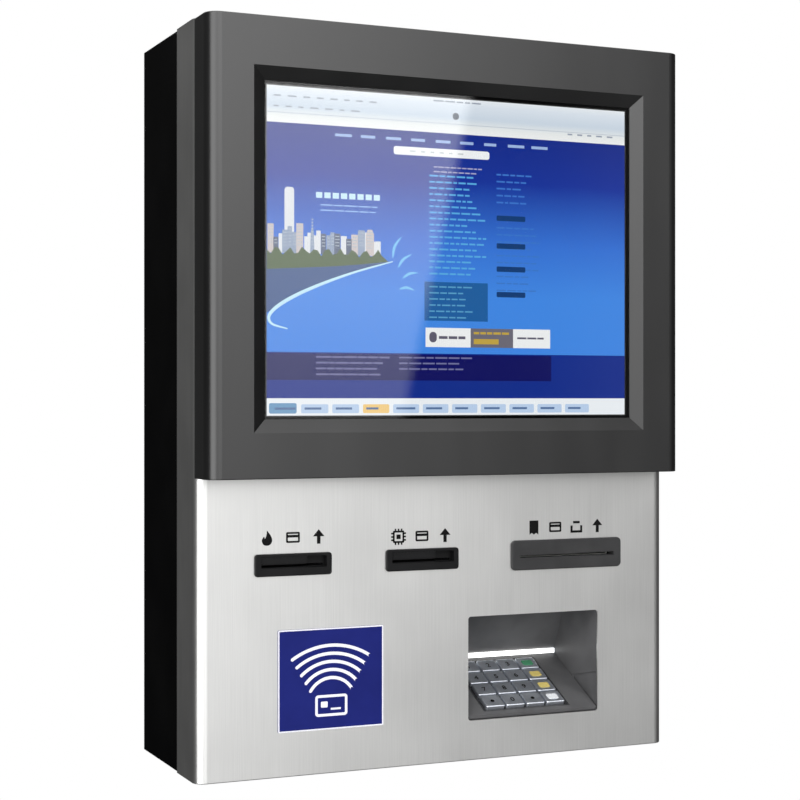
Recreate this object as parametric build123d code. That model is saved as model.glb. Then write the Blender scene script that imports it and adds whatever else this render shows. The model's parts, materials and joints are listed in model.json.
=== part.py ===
"""Wall-mounted self-service payment terminal, in millimetres.

The back of the rear cabinet lies on the wall plane Y = 0, the user stands at -Y, Z is up and X is to the
user's right. The origin is the centre of the four wall-fixing holes.
"""

from build123d import *
import os
from math import cos, radians, sin, tan

# ---- display and its frame
DISPLAY_W = 338.0          # lit area of a 17 inch 5:4 panel
DISPLAY_H = 270.3
WINDOW_MARGIN = 17.0       # opening in the door sheet beyond the lit area
BLACK_MARGIN = 3.0         # dark edge between the lit area and the frame's bevel
BEVEL_W = 11.0             # width of the sloping edge round the window
BEVEL_D = 5.4              # its depth
BORDER_SIDE = 39.0         # flat borders round the bevel
BORDER_TOP = 40.6
BORDER_BOTTOM = 37.5
FRAME_DEPTH = 30.2         # the frame stands this far proud of the door
FRAME_WALL = 2.0
FRAME_LIP = 1.2            # metal left at the foot of the bevel
FRAME_ROUND = 12.0         # rounding of the frame's two upright edges

# ---- door, cabinet
CONTROL_H = 249.7          # steel face below the frame
FRAME_INSET = 1.0          # the door is wider than the frame by this on each side
DOOR_DEPTH = 52.1
DOOR_ROUND = 10.0
SHEET = 1.5                # sheet steel of door and cabinet
FLANGE = 12.0              # return flange at the back of the door
LIP = 14.0                 # return lip at the front of the cabinet
CABINET_DEPTH = 104.6
CABINET_STEP = 1.0         # the cabinet is smaller than the door by this on each side
SEAM = 1.2                 # gap between door and cabinet, filled by the seal
SEAL_T = 1.0
SEAL_W = 9.0
DOOR_SWING = 110.0

# ---- wall fixing and cable entry
WALL_HOLE_R = 4.25
WALL_PITCH_X = 300.0
WALL_PITCH_Z = 480.0
ENTRY_BORE_R = 10.0
ENTRY_X = -20.0

# ---- control face; its two rows share out the height that they leave free, and X is from the centre line
FREE_ABOVE = 0.4488        # share of the free height above the slot row
FREE_BETWEEN = 0.2913      # share between the slot row and the keypad recess
GAS_CARD_X = -138.4
BANK_CARD_X = -20.2
RECEIPT_X = 121.1
SIGN_X = -104.3
KEYPAD_X = 88.9
PROUD = 3.0                # how far the slot bezels stand out
CARD_SLOT_W = 56.0
RECEIPT_SLOT_W = 95.0
SLOT_H = 2.2
MOUTH_MARGIN = (1.2, 0.6)  # a card slot's funnel beyond the slot, across and up
THUMB_NOTCH = (17.6, 9.8, 7.0)
SLOT_DROP = 1.0            # cards and paper pass this far below the bezels' middle
CARD_WALL = (2.2, 6.8)     # bezel material round its slot, out to the cut-out in the door sheet
CARD_BRIM = (3.8, 1.4)     # bezel's brim beyond the cut-out
RECEIPT_WALL = (2.0, 4.9)
RECEIPT_BRIM = (5.8, 7.15)
FINGER_RELIEF = (35.5, 0.6, 3.0)   # taller right-hand part of the receipt slot
CUT_ROUND = 1.5            # corner rounding of the slot cut-outs
SIGN_W = 95.0
SIGN_H = 85.2
SIGN_RIM = (4.0, 4.1)      # sign plate beyond its cut-out
SIGN_T = 0.8
AERIAL_MARGIN = 7.0        # aerial housing beyond the cut-out
AERIAL_T = 14.0
DEVICE_SPACER = 5.0        # card readers and printer stand this far behind the sheet
POST_R = 3.0
FIT = 0.3                  # clearance of a part in its cut-out
EDGE_ROUND = 0.8           # softened edges of frame and door

# ---- keypad recess
RECESS_W = 129.4
RECESS_H = 90.7
RECESS_WALL = 2.5
KEYPAD_TILT = 26.04        # slope of the keypad plate from level, in degrees
CEILING_DEPTH = 58.8
RECESS_FLANGE = 11.0       # flange behind the door sheet
PLATE_FRONT_RISE = 2.5     # front of the plate above the lower edge of the opening
PLATE_T = 3.0
PLATE_SEAT = 2.0
LIGHT_H = 4.2
LIGHT_D = 6.0
KEY_PITCH = (20.1, 17.9)
KEY_GAP = 1.7
KEY_TRAVEL = 1.5
KEY_PROUD = 2.6
KEY_ROOT = 4.0             # length of a key inside its well
KEY_STUB = 0.4             # peg under the key that the spring sits on
KEY_CLEAR = 0.25
KEY_ROWS = 4
KEY_COLUMNS = 4
KEY_EDGE = 2.6             # keypad body beyond the outer keys
KEYS_FRONT = 5.6           # plate in front of the keypad body
KEYS_BACK = 5.63           # and behind it
KEYPAD_SINK = 0.8          # the dark body lies this far under the plate's face
KEY_ROUND = 1.6
KEY_SOFT = 0.9
KEY_DISH = 0.45
KEY_DISH_R = 60.0
KEY_SHIFT = -3.0           # the keys sit a little left of the recess centre
KEYPAD_BODY_D = 21.0

# ---- hinges and lock
HINGE_R = 3.5
HINGE_GAP = 0.5            # between the door's side and the knuckles
HINGE_PIN_R = 1.75
HINGE_BORE_R = 1.80
HINGE_LEAF = 26.0
HINGE_H = 64.0
HINGE_LEAF_T = 2.0
HINGE_SPACING = 225.0
LEAF_SCREW_ROW = 16.0      # screws from the seam edge of a leaf
LOCK_X = -150.0
LOCK_SETBACK = 24.0        # lock axis in front of the door's rear edge
LOCK_BARREL_R = 9.0
LOCK_PLUG_R = 6.5
STRIKE_T = 2.0
HOOK_R = 22.0              # from the lock axis to the strike pin
STRIKE_PIN_R = 2.5
PIN_CLEAR = 0.7            # between the strike pin and the hook
HOOK_T = 4.0
HOOK_START = -20.0         # arm of the open hook, in degrees from +X, and its tip
HOOK_END = 60.0
ARM_W = 7.0
CAM_R = 8.0
CAM_T = 3.0

# ---- printer
ROLL_R = 28.0
ROLL_W = 80.0
ROLL_CORE_R = 6.1
SPINDLE_R = 6.0
PLATEN_R = 6.0
PLATEN_SHAFT_R = 2.5
PLATEN_BORE_R = 2.55
PRINTER_PLATE_T = 2.0
PRINTER_SIDE = 6.0         # side plate's outer face beyond the roll
PRINTER_BELOW = 18.0       # printer below and above the paper's path
PRINTER_ABOVE = 44.0
PLATEN_SETBACK = 22.0      # platen behind the door sheet
ROLL_SETBACK = 34.0        # roll's near side behind the platen's axis

# ---- cabinet equipment
FAN_SIZE = 80.0
FAN_T = 25.0
FAN_RIM = 2.0              # frame left beside the bore
FAN_SCREW_INSET = 4.3
FAN_HUB_R = 15.0
FAN_BLADES = 7
FAN_SHAFT_R = 1.5
FAN_SHAFT_BORE_R = 1.55
PC_SIZE = (210.0, 44.0, 150.0)
PSU_SIZE = (98.0, 38.0, 159.0)
PC_PLACE = (-70.0, 150.0)
PSU_PLACE = (120.0, 140.0)
STANDOFF = 6.0
ROCKER_THROW = 16.0
SERVICE_Y = -52.0          # row of inlet, switch, cable entry and vents in the floor
INLET_X = -120.0
SWITCH_X = -78.0
INLET_CUT = (30.0, 22.0)
SWITCH_CUT = (21.0, 15.0)
ROCKER_AXIS = 3.5          # above the cabinet's underside
VENT_X = 150.0
VENT_PITCH = 9.0
VENT_SLOT = (3.5, 44.0)
GRILLE_PITCH = 8.0
GRILLE_SLOT_W = 4.0
VENT_COUNT = 9

# ---- display module
GLASS_T = 3.0
GLASS_OVERLAP = 8.0
GASKET_T = 0.6
LCD_T = 13.4
LCD_MARGIN = 10.25
LAMP_INSET = 9.0           # rear lamp cover inside the module's edge
LAMP_T = 2.0
LCD_FOOT_R = 5.0
RAIL_T = 2.0
RAIL_W = 22.0
RAIL_X = 105.0
RAIL_LAP = 18.0            # rail over the door sheet, above and below the window
BOARD_STANDOFF = 8.0
BOARD_T = 1.6
BOARD_H = 96.0
BOSS_INSET = 13.0          # frame screws from the frame's edges
BOSS_R = 5.0
BOSS_BORE_R = 2.05
BOSS_HOLE_R = 2.3
BOSS_SCREW_L = 10.0

# ---- card readers
READER_MARGIN = 5.0        # body beyond the card way on each side
READER_D = 104.0
READER_H = 30.0
CARD_WAY_D = 84.0
EAR_W = 9.0
EAR_HOLE = 5.5

# ---- worked-out sizes and places
FRAME_W = DISPLAY_W + 2 * (BLACK_MARGIN + BEVEL_W + BORDER_SIDE)
FRAME_H = BORDER_TOP + DISPLAY_H + 2 * (BLACK_MARGIN + BEVEL_W) + BORDER_BOTTOM
DOOR_W = FRAME_W + 2 * FRAME_INSET
DOOR_H = FRAME_H + CONTROL_H
CABINET_W = DOOR_W - 2 * CABINET_STEP
CABINET_H = DOOR_H - 2 * CABINET_STEP

cabinet_front = -CABINET_DEPTH
door_rear = cabinet_front - SEAM
door_front = door_rear - DOOR_DEPTH
door_inner = door_front + SHEET
frame_front = door_front - FRAME_DEPTH
top_z = DOOR_H / 2
bottom_z = -DOOR_H / 2
frame_foot_z = top_z - FRAME_H
display_z = top_z - BORDER_TOP - BLACK_MARGIN - BEVEL_W - DISPLAY_H / 2

card_cut = (CARD_SLOT_W + 2 * CARD_WALL[0], SLOT_H + 2 * CARD_WALL[1])
card_bezel_size = (card_cut[0] + 2 * CARD_BRIM[0], card_cut[1] + 2 * CARD_BRIM[1])
card_mouth = (CARD_SLOT_W + 2 * MOUTH_MARGIN[0], SLOT_H + 2 * MOUTH_MARGIN[1])
receipt_cut = (RECEIPT_SLOT_W + 2 * RECEIPT_WALL[0], SLOT_H + 2 * RECEIPT_WALL[1])
receipt_bezel_size = (receipt_cut[0] + 2 * RECEIPT_BRIM[0], receipt_cut[1] + 2 * RECEIPT_BRIM[1])
sign_cut = (SIGN_W - 2 * SIGN_RIM[0], SIGN_H - 2 * SIGN_RIM[1])
reader_w = CARD_SLOT_W + 2 * READER_MARGIN
free_h = CONTROL_H - receipt_bezel_size[1] - RECESS_H
slot_z = frame_foot_z - FREE_ABOVE * free_h - receipt_bezel_size[1] / 2
paper_z = slot_z - SLOT_DROP
lower_z = slot_z - receipt_bezel_size[1] / 2 - FREE_BETWEEN * free_h - RECESS_H / 2
cabinet_floor = -CABINET_H / 2 + SHEET
cabinet_ceiling = CABINET_H / 2 - SHEET
glass_front = frame_front + BEVEL_D + FRAME_LIP
lcd_front = glass_front + GLASS_T + GASKET_T

device_front = door_inner + DEVICE_SPACER
window_w = DISPLAY_W + 2 * WINDOW_MARGIN
window_h = DISPLAY_H + 2 * WINDOW_MARGIN

hinge_x = DOOR_W / 2 + HINGE_R + HINGE_GAP
leaf_face_x = CABINET_W / 2 + HINGE_LEAF_T + CABINET_STEP
hinge_y = (cabinet_front + door_rear) / 2
lock_y = door_rear - LOCK_SETBACK
strike_z = (cabinet_floor + LIP + 0.5, cabinet_floor + LIP + 0.5 + STRIKE_T)   # tab that carries the pin
lock_top = strike_z[1] + 2 + CAM_T

recess_top = lower_z + RECESS_H / 2
recess_foot = lower_z - RECESS_H / 2
slope = tan(radians(KEYPAD_TILT))
plate_front_z = recess_foot + PLATE_FRONT_RISE + SHEET * slope   # plate's top at the back of the door sheet
key_w = KEY_PITCH[0] - KEY_GAP
key_l = KEY_PITCH[1] - KEY_GAP
key_zone_w = KEY_COLUMNS * KEY_PITCH[0] + 2 * KEY_EDGE
key_zone_l = KEY_ROWS * KEY_PITCH[1] + 2 * KEY_EDGE
key_zone_y = KEYS_FRONT + key_zone_l / 2               # middle of the keys, up the slope
plate_length = key_zone_l + KEYS_FRONT + KEYS_BACK
back_foot_y = door_inner + plate_length * cos(radians(KEYPAD_TILT))   # foot of the leaning back wall
keypad_place = Location((KEYPAD_X, door_inner, plate_front_z), (KEYPAD_TILT, 0, 0))

fan_bore_r = FAN_SIZE / 2 - FAN_RIM
fan_y = cabinet_front / 2
printer_half = ROLL_W / 2 + PRINTER_SIDE
printer_x = (RECEIPT_X - printer_half, RECEIPT_X + printer_half)
printer_z = (paper_z - PRINTER_BELOW, paper_z + PRINTER_ABOVE)
platen_y = door_inner + PLATEN_SETBACK
platen_z = paper_z + PLATEN_R + 0.2
roll_y = platen_y + ROLL_SETBACK + ROLL_R
roll_z = paper_z + ROLL_R - 3


# ---- helpers
def block(x, y, z):
    """Box between low and high corners, each given as (low, high)."""
    middle = tuple((low + high) / 2 for low, high in (x, y, z))
    return Pos(*middle) * Box(x[1] - x[0], y[1] - y[0], z[1] - z[0])


def centred(x, width):
    """(low, high) of a stretch of this width about x."""
    return (x - width / 2, x + width / 2)


def rod_x(radius, x, y, z):
    return Pos((x[0] + x[1]) / 2, y, z) * Rot(0, 90, 0) * Cylinder(radius, x[1] - x[0])


def rod_y(radius, x, y, z):
    return Pos(x, (y[0] + y[1]) / 2, z) * Rot(90, 0, 0) * Cylinder(radius, y[1] - y[0])


def rod_z(radius, x, y, z):
    return Pos(x, y, (z[0] + z[1]) / 2) * Cylinder(radius, z[1] - z[0])


def rounded_front(width, y, z, radius, soft_ends=()):
    """Upright block about X = 0 whose two front vertical edges are rounded.

    soft_ends names ends to soften round their rims: 0 for the bottom, -1 for the top.
    """
    body = block(centred(0, width), y, z)
    body = fillet(body.edges().filter_by(Axis.Z).sort_by(Axis.Y)[:2], radius)
    for end in soft_ends:
        rim = body.edges().group_by(Axis.Z)[end].sort_by(Axis.Y)[:-1]
        body = fillet(rim, EDGE_ROUND)
    return body


def rounded_plate(x, y, z, radius):
    """Plate facing the user, with its four corners rounded."""
    body = block(x, y, z)
    return fillet(body.edges().filter_by(Axis.Y), radius)


def pan_head(x, y, z, radius, height, shank_r, shank_l, toward):
    """Screw along Y: its head on the plane y, its shank going the way of toward (+1 or -1)."""
    head_y = sorted((y, y - toward * height))
    shank_y = sorted((y, y + toward * shank_l))
    head = rod_y(radius, x, head_y, z)
    rim = head.edges().filter_by(GeomType.CIRCLE).sort_by(Axis.Y)[0 if toward > 0 else -1]
    return fillet(rim, height * 0.45) + rod_y(shank_r, x, shank_y, z)


# ---- fixed cabinet
def wall_hole_places():
    return [(sx * WALL_PITCH_X / 2, sz * WALL_PITCH_Z / 2) for sx in (-1, 1) for sz in (-1, 1)]


def rear_cabinet():
    half = CABINET_H / 2
    box = block(centred(0, CABINET_W), (cabinet_front, 0), (-half, half))
    box -= block(
        centred(0, CABINET_W - 2 * SHEET),
        (cabinet_front + SHEET, -SHEET),
        (cabinet_floor, cabinet_ceiling),
    )
    box -= block(
        centred(0, CABINET_W - 2 * (SHEET + LIP)),
        (cabinet_front - SHEET, cabinet_front + 2 * SHEET),
        (cabinet_floor + LIP, cabinet_ceiling - LIP),
    )
    for x, z in wall_hole_places():
        box -= rod_y(WALL_HOLE_R, x, (-2 * SHEET, SHEET), z)
    through_floor = (-half - SHEET, cabinet_floor + SHEET)
    box -= block(centred(INLET_X, INLET_CUT[0]), centred(SERVICE_Y, INLET_CUT[1]), through_floor)
    box -= block(centred(SWITCH_X, SWITCH_CUT[0]), centred(SERVICE_Y, SWITCH_CUT[1]), through_floor)
    box -= rod_z(ENTRY_BORE_R + 3, ENTRY_X, SERVICE_Y, through_floor)
    grille_r = fan_bore_r - 3
    for i in range(VENT_COUNT):
        step = i - (VENT_COUNT - 1) / 2
        vent_x = VENT_X + step * VENT_PITCH
        box -= block(centred(vent_x, VENT_SLOT[0]), centred(SERVICE_Y, VENT_SLOT[1]), through_floor)
        # roof slots over the fan, as long as its bore lets them be
        x = step * GRILLE_PITCH * FAN_SIZE / 80
        chord = centred(fan_y, 2 * (grille_r**2 - x**2) ** 0.5)
        box -= block(centred(x, GRILLE_SLOT_W), chord, (cabinet_ceiling - SHEET, half + SHEET))
    return box


def cable_grommet():
    """Rubber ring in the floor, where the network and earth leads come in."""
    floor = (-CABINET_H / 2, cabinet_floor)
    ring = rod_z(ENTRY_BORE_R + 6, ENTRY_X, SERVICE_Y, (floor[0] - 2.5, floor[0]))
    ring += rod_z(ENTRY_BORE_R + 2.9, ENTRY_X, SERVICE_Y, (floor[0] - 1, floor[1] + 1))
    ring += rod_z(ENTRY_BORE_R + 6, ENTRY_X, SERVICE_Y, (floor[1], floor[1] + 2.5))
    return ring - rod_z(ENTRY_BORE_R, ENTRY_X, SERVICE_Y, (floor[0] - 5, floor[1] + 5))


def mains_inlet():
    """Three-pin appliance inlet, facing down."""
    low = -CABINET_H / 2
    flange = block(centred(INLET_X, 48), centred(SERVICE_Y, INLET_CUT[1] + 4), (low - 2.5, low))
    flange = fillet(flange.edges().filter_by(Axis.Z), 3)
    width, depth = INLET_CUT[0] - 2 * FIT, INLET_CUT[1] - 2 * FIT
    body = block(centred(INLET_X, width), centred(SERVICE_Y, depth), (low - 1, low + 26))
    socket = block(centred(INLET_X, 24.5), centred(SERVICE_Y, 16.6), (low - 5, low + 17))
    socket = fillet(socket.edges().filter_by(Axis.Z).sort_by(Axis.Y)[2:], 4)
    body = flange + body - socket
    for x, y in ((-7, 1.5), (7, 1.5), (0, -2.5)):
        body += block(centred(INLET_X + x, 2.0), centred(SERVICE_Y + y, 4.0), (low + 3, low + 17.5))
    for side in (-1, 1):
        body -= rod_z(1.8, INLET_X + side * 20, SERVICE_Y, (low - 5, low + 1))
        body += block(centred(INLET_X + side * 7, 6.3), centred(SERVICE_Y, 0.8), (low + 25, low + 34))
    return body


def switch_housing():
    low = -CABINET_H / 2
    flange = block(
        centred(SWITCH_X, SWITCH_CUT[0] + 4), centred(SERVICE_Y, SWITCH_CUT[1] + 4), (low - 2, low)
    )
    width, depth = SWITCH_CUT[0] - 2 * FIT, SWITCH_CUT[1] - 2 * FIT
    body = block(centred(SWITCH_X, width), centred(SERVICE_Y, depth), (low - 1, low + 20))
    body = flange + body - block(centred(SWITCH_X, 18.2), centred(SERVICE_Y, 11.4), (low - 5, low + 10))
    body -= rod_y(1.55, SWITCH_X, centred(SERVICE_Y, 13.2), low + ROCKER_AXIS)
    return body


def switch_rocker():
    """Rocker on its pin; it rests on one end and tips by ROCKER_THROW about the pin."""
    low = -CABINET_H / 2
    outline = Polyline((-8, -4.4), (0, -3.2), (8, -4.4), (7.2, 2.2), (0, 3.4), (-7.2, 2.2), close=True)
    rocker = extrude(Plane.XZ * make_face(outline), 5.5, both=True)
    rocker += rod_y(1.5, 0, (-6.4, 6.4), 0)
    return Pos(SWITCH_X, SERVICE_Y, low + ROCKER_AXIS) * Rot(0, ROCKER_THROW / 2, 0) * rocker


def industrial_pc():
    """Finned controller case on four standoffs, its ports along the lower edge."""
    w, d, h = PC_SIZE
    back = -SHEET - STANDOFF
    x, y, z = centred(PC_PLACE[0], w), (back - d, back), centred(PC_PLACE[1], h)
    case = block(x, (y[0] + 12, y[1]), z)
    fins = [block(centred(x[0] + 4 + i * (w - 8) / 20, 2.4), (y[0], y[0] + 13), z) for i in range(21)]
    case += fins
    for i, width in enumerate((18, 14, 14, 16, 16, 12)):
        port = block(centred(x[0] + 26 + i * 30, width), centred(y[1] - 16, 12), (z[0] - 1, z[0] + 6))
        case -= port
    for sx in (-1, 1):
        for sz in (-1, 1):
            foot_x, foot_z = PC_PLACE[0] + sx * (w / 2 - 8), PC_PLACE[1] + sz * (h / 2 - 8)
            case += rod_y(4, foot_x, (back - 1, -SHEET), foot_z)
    return case


def power_supply():
    """Enclosed switching supply with a terminal row and a vented cover."""
    w, d, h = PSU_SIZE
    back = -SHEET - STANDOFF
    x, y, z = centred(PSU_PLACE[0], w), (back - d, back), centred(PSU_PLACE[1], h)
    case = block(x, y, (z[0] + 18, z[1])) + block(x, (back - 4, back), z)
    case += block((x[0] + 4, x[1] - 4), (back - 18, back - 3), (z[0] + 4, z[0] + 19))
    for i in range(7):
        case -= block(centred(x[0] + 10 + i * 13, 8), (back - 20, back - 12), (z[0] + 2, z[0] + 14))
    for i in range(9):
        for j in range(5):
            case -= rod_y(
                3, x[0] + 13 + i * (w - 26) / 8, (y[0] - 1, y[0] + 1.2), z[0] + 48 + j * (h - 72) / 4
            )
    for sx in (-1, 1):
        for sz in (-1, 1):
            foot_x, foot_z = PSU_PLACE[0] + sx * (w / 2 - 8), PSU_PLACE[1] + sz * (h / 2 - 8)
            case += rod_y(4, foot_x, (back - 1, -SHEET), foot_z)
    return case


def fan_frame():
    top = cabinet_ceiling
    low = top - FAN_T
    frame = block(centred(0, FAN_SIZE), centred(fan_y, FAN_SIZE), (low, top))
    frame = fillet(frame.edges().filter_by(Axis.Z), 4)
    frame -= rod_z(fan_bore_r, 0, fan_y, (low - 1, top + 1))
    corner = FAN_SIZE / 2 - FAN_SCREW_INSET
    for sx in (-1, 1):
        for sy in (-1, 1):
            frame -= rod_z(2.2, sx * corner, fan_y + sy * corner, (low - 1, top + 1))
    frame += rod_z(FAN_HUB_R, 0, fan_y, (low, low + 3.5))
    for i in range(4):
        arm = Rot(0, 0, 45 + 90 * i) * block((FAN_HUB_R - 2, fan_bore_r + 1), (-2, 2), (low, low + 3.5))
        frame += Pos(0, fan_y, 0) * arm
    return frame - rod_z(FAN_SHAFT_BORE_R, 0, fan_y, (low - 1, low + 5))


def fan_rotor():
    top = cabinet_ceiling
    low = top - FAN_T
    rotor = rod_z(FAN_HUB_R, 0, 0, (low + 4.2, top - 2))
    rotor += rod_z(FAN_SHAFT_R, 0, 0, (low + 0.5, low + 5))
    middle = (low + 4.2 + top - 2) / 2
    for i in range(FAN_BLADES):
        blade = Pos((FAN_HUB_R + fan_bore_r - 1) / 2 - 0.5, 0, middle) * Rot(38, 0, 0) * Box(
            fan_bore_r - FAN_HUB_R - 1, 19, 1.4
        )
        rotor += Rot(0, 0, 360 / FAN_BLADES * i) * blade
    return Pos(0, fan_y, 0) * rotor


def fan_screws():
    corner = FAN_SIZE / 2 - FAN_SCREW_INSET
    screws = []
    for sx in (-1, 1):
        for sy in (-1, 1):
            x, y = sx * corner, fan_y + sy * corner
            low = cabinet_ceiling - FAN_T
            screws.append(rod_z(3.6, x, y, (low - 2, low)) + rod_z(2.1, x, y, (low, cabinet_ceiling)))
    return screws


# ---- hinges on the right-hand side
def hinge_heights():
    return [i * HINGE_SPACING for i in (-1, 0, 1)]


def knuckles(z, share, shift):
    """Part of a hinge's height about z, as (low, high)."""
    middle = z + shift * HINGE_H
    return centred(middle, share * HINGE_H)


def hinge_knuckle(z_span):
    return rod_z(HINGE_R, hinge_x, hinge_y, z_span)


def cabinet_hinge_leaves():
    leaves = []
    for z in hinge_heights():
        plate_x = (CABINET_W / 2, leaf_face_x)
        leaf = block(plate_x, (cabinet_front, cabinet_front + HINGE_LEAF), centred(z, HINGE_H))
        leaf -= rod_z(HINGE_R + 0.4, hinge_x, hinge_y, knuckles(z, 0.42, 0))
        for shift in (-0.36, 0.36):
            span = knuckles(z, 0.28, shift)
            leaf += hinge_knuckle(span)
            leaf += block((plate_x[0], hinge_x), (cabinet_front, hinge_y + HINGE_R), span)
        leaf -= rod_z(HINGE_PIN_R, hinge_x, hinge_y, centred(z, HINGE_H + 2))
        leaves.append(leaf)
    return leaves


def door_hinge_leaves():
    leaves = []
    for z in hinge_heights():
        plate_x = (DOOR_W / 2, DOOR_W / 2 + HINGE_LEAF_T)
        leaf = block(plate_x, (door_rear - HINGE_LEAF, door_rear), centred(z, HINGE_H))
        for shift in (-0.36, 0.36):
            leaf -= rod_z(HINGE_R + 0.4, hinge_x, hinge_y, knuckles(z, 0.30, shift))
        span = knuckles(z, 0.40, 0)
        leaf += hinge_knuckle(span)
        leaf += block((plate_x[0], hinge_x), (hinge_y - HINGE_R, door_rear), span)
        leaf -= rod_z(HINGE_BORE_R, hinge_x, hinge_y, centred(z, HINGE_H + 2))
        leaves.append(leaf)
    return leaves


def hinge_pins():
    pins = []
    for z in hinge_heights():
        low, high = centred(z, HINGE_H)
        pin = rod_z(HINGE_PIN_R, hinge_x, hinge_y, (low, high))
        pins.append(pin + rod_z(HINGE_R - 0.5, hinge_x, hinge_y, (high, high + 1.5)))
    return pins


def leaf_screws(side_x, y):
    """Countersunk-looking heads on a hinge leaf."""
    screws = []
    for z in hinge_heights():
        for shift in (-0.3, 0, 0.3):
            head = rod_x(3.0, (side_x, side_x + 1.0), y, z + shift * HINGE_H)
            screws.append(head)
    return screws


def cabinet_screws():
    """The cabinet's screws: hinge leaves and fan."""
    return leaf_screws(leaf_face_x, cabinet_front + LEAF_SCREW_ROW) + fan_screws()


def door_screws():
    """The door's screws: hinge leaves and display frame."""
    shank = SHEET + BOSS_SCREW_L
    frame = [pan_head(x, door_inner, z, 4.0, 2.4, 2.0, shank, -1) for x, z in frame_boss_places()]
    return leaf_screws(DOOR_W / 2 + HINGE_LEAF_T, door_rear - LEAF_SCREW_ROW) + frame


# ---- door
def door_solid(inset=0.0):
    """The door's outer form, or the same form smaller by inset all round and open at the back."""
    return rounded_front(
        DOOR_W - 2 * inset,
        (door_front + inset, door_rear + (SHEET if inset else 0)),
        (bottom_z + inset, top_z - inset),
        DOOR_ROUND - inset,
        () if inset else (0,),
    )


def door_shell():
    flange_y = (door_rear - SHEET, door_rear)
    shell = door_solid() - door_solid(SHEET)
    rim = block(centred(0, DOOR_W - SHEET), flange_y, (bottom_z + SHEET / 2, top_z - SHEET / 2))
    rim -= block(
        centred(0, DOOR_W - 2 * (SHEET + FLANGE)),
        (door_rear - 2 * SHEET, door_rear + SHEET),
        (bottom_z + SHEET + FLANGE, top_z - SHEET - FLANGE),
    )
    shell += rim
    through = (door_front - 1, door_inner + 1)
    shell -= block(centred(0, window_w), through, centred(display_z, window_h))
    for x in (GAS_CARD_X, BANK_CARD_X):
        shell -= rounded_plate(centred(x, card_cut[0]), through, centred(slot_z, card_cut[1]), CUT_ROUND)
    shell -= rounded_plate(
        centred(RECEIPT_X, receipt_cut[0]), through, centred(slot_z, receipt_cut[1]), CUT_ROUND
    )
    shell -= rounded_plate(centred(SIGN_X, sign_cut[0]), through, centred(lower_z, sign_cut[1]), 2)
    shell -= rounded_plate(centred(KEYPAD_X, RECESS_W), through, centred(lower_z, RECESS_H), 2.5)
    shell -= rod_z(LOCK_BARREL_R + 0.1, LOCK_X, lock_y, (bottom_z - 1, bottom_z + SHEET + 1))
    for x, z in frame_boss_places():
        shell -= rod_y(BOSS_HOLE_R, x, (door_front - 1, door_inner + 1), z)
    return shell


def door_seal():
    """Foam strip round the door's return flange."""
    outer = (CABINET_W - 2, CABINET_H - 2)
    y = (door_rear, door_rear + SEAL_T)
    ring = block(centred(0, outer[0]), y, centred(0, outer[1]))
    return ring - block(
        centred(0, outer[0] - 2 * SEAL_W),
        (y[0] - 1, y[1] + 1),
        centred(0, outer[1] - 2 * SEAL_W),
    )


def frame_boss_places():
    side = FRAME_W / 2 - BOSS_INSET
    rows = (top_z - BOSS_INSET, display_z, frame_foot_z + BOSS_INSET)
    return [(sx * side, z) for sx in (-1, 1) for z in rows]


def window_block(margin, y):
    """Block about the display's middle, larger than the lit area by margin all round."""
    return block(
        centred(0, DISPLAY_W + 2 * margin), y, centred(display_z, DISPLAY_H + 2 * margin)
    )


def monitor_frame():
    foot, head = frame_foot_z, top_z
    skirt_rear = door_front + DOOR_ROUND
    frame = rounded_front(FRAME_W, (frame_front, skirt_rear), (foot, head), FRAME_ROUND, (0, -1))
    hollow = rounded_front(
        FRAME_W - 2 * FRAME_WALL,
        (frame_front + FRAME_WALL, skirt_rear + 1),
        (foot + FRAME_WALL, head - FRAME_WALL),
        FRAME_ROUND - FRAME_WALL,
    )
    frame -= hollow
    frame += window_block(BLACK_MARGIN + BEVEL_W + 3, (frame_front + 0.5, glass_front))
    for x, z in frame_boss_places():
        frame += rod_y(BOSS_R, x, (frame_front + 1, door_front), z)
    frame -= window_block(BLACK_MARGIN, (frame_front - 1, glass_front + 1))
    mouth_w = DISPLAY_W + 2 * (BLACK_MARGIN + BEVEL_W)
    mouth_h = DISPLAY_H + 2 * (BLACK_MARGIN + BEVEL_W)
    mouth = Plane((0, frame_front, display_z), x_dir=(1, 0, 0), z_dir=(0, -1, 0))
    throat = mouth.offset(-BEVEL_D)
    frame -= loft(
        [
            mouth * Rectangle(mouth_w, mouth_h),
            throat * Rectangle(mouth_w - 2 * BEVEL_W, mouth_h - 2 * BEVEL_W),
        ]
    )
    for x, z in frame_boss_places():
        frame -= rod_y(BOSS_BORE_R, x, (door_front - BOSS_SCREW_L - 2, door_front + 1), z)
    return frame - door_solid()


def touch_glass():
    return window_block(BLACK_MARGIN + GLASS_OVERLAP, (glass_front, glass_front + GLASS_T))


def glass_gasket():
    y = (glass_front + GLASS_T, glass_front + GLASS_T + GASKET_T)
    ring = window_block(LCD_MARGIN - 1, y)
    return ring - window_block(1.0, (y[0] - 1, y[1] + 1))


def display_panel():
    """Panel module with a metal rim, a rear lamp cover and four mounting feet that stand on the rails."""
    rear = lcd_front + LCD_T
    panel = window_block(LCD_MARGIN, (lcd_front, rear - LAMP_T))
    panel += window_block(LCD_MARGIN - LAMP_INSET, (rear - LAMP_T - 1, rear))
    for sx in (-1, 1):
        for sz in (-1, 1):
            z = display_z + sz * (DISPLAY_H / 2 - 30)
            panel += rod_y(LCD_FOOT_R, sx * RAIL_X, (rear - 1, door_inner), z)
    return panel


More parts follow.
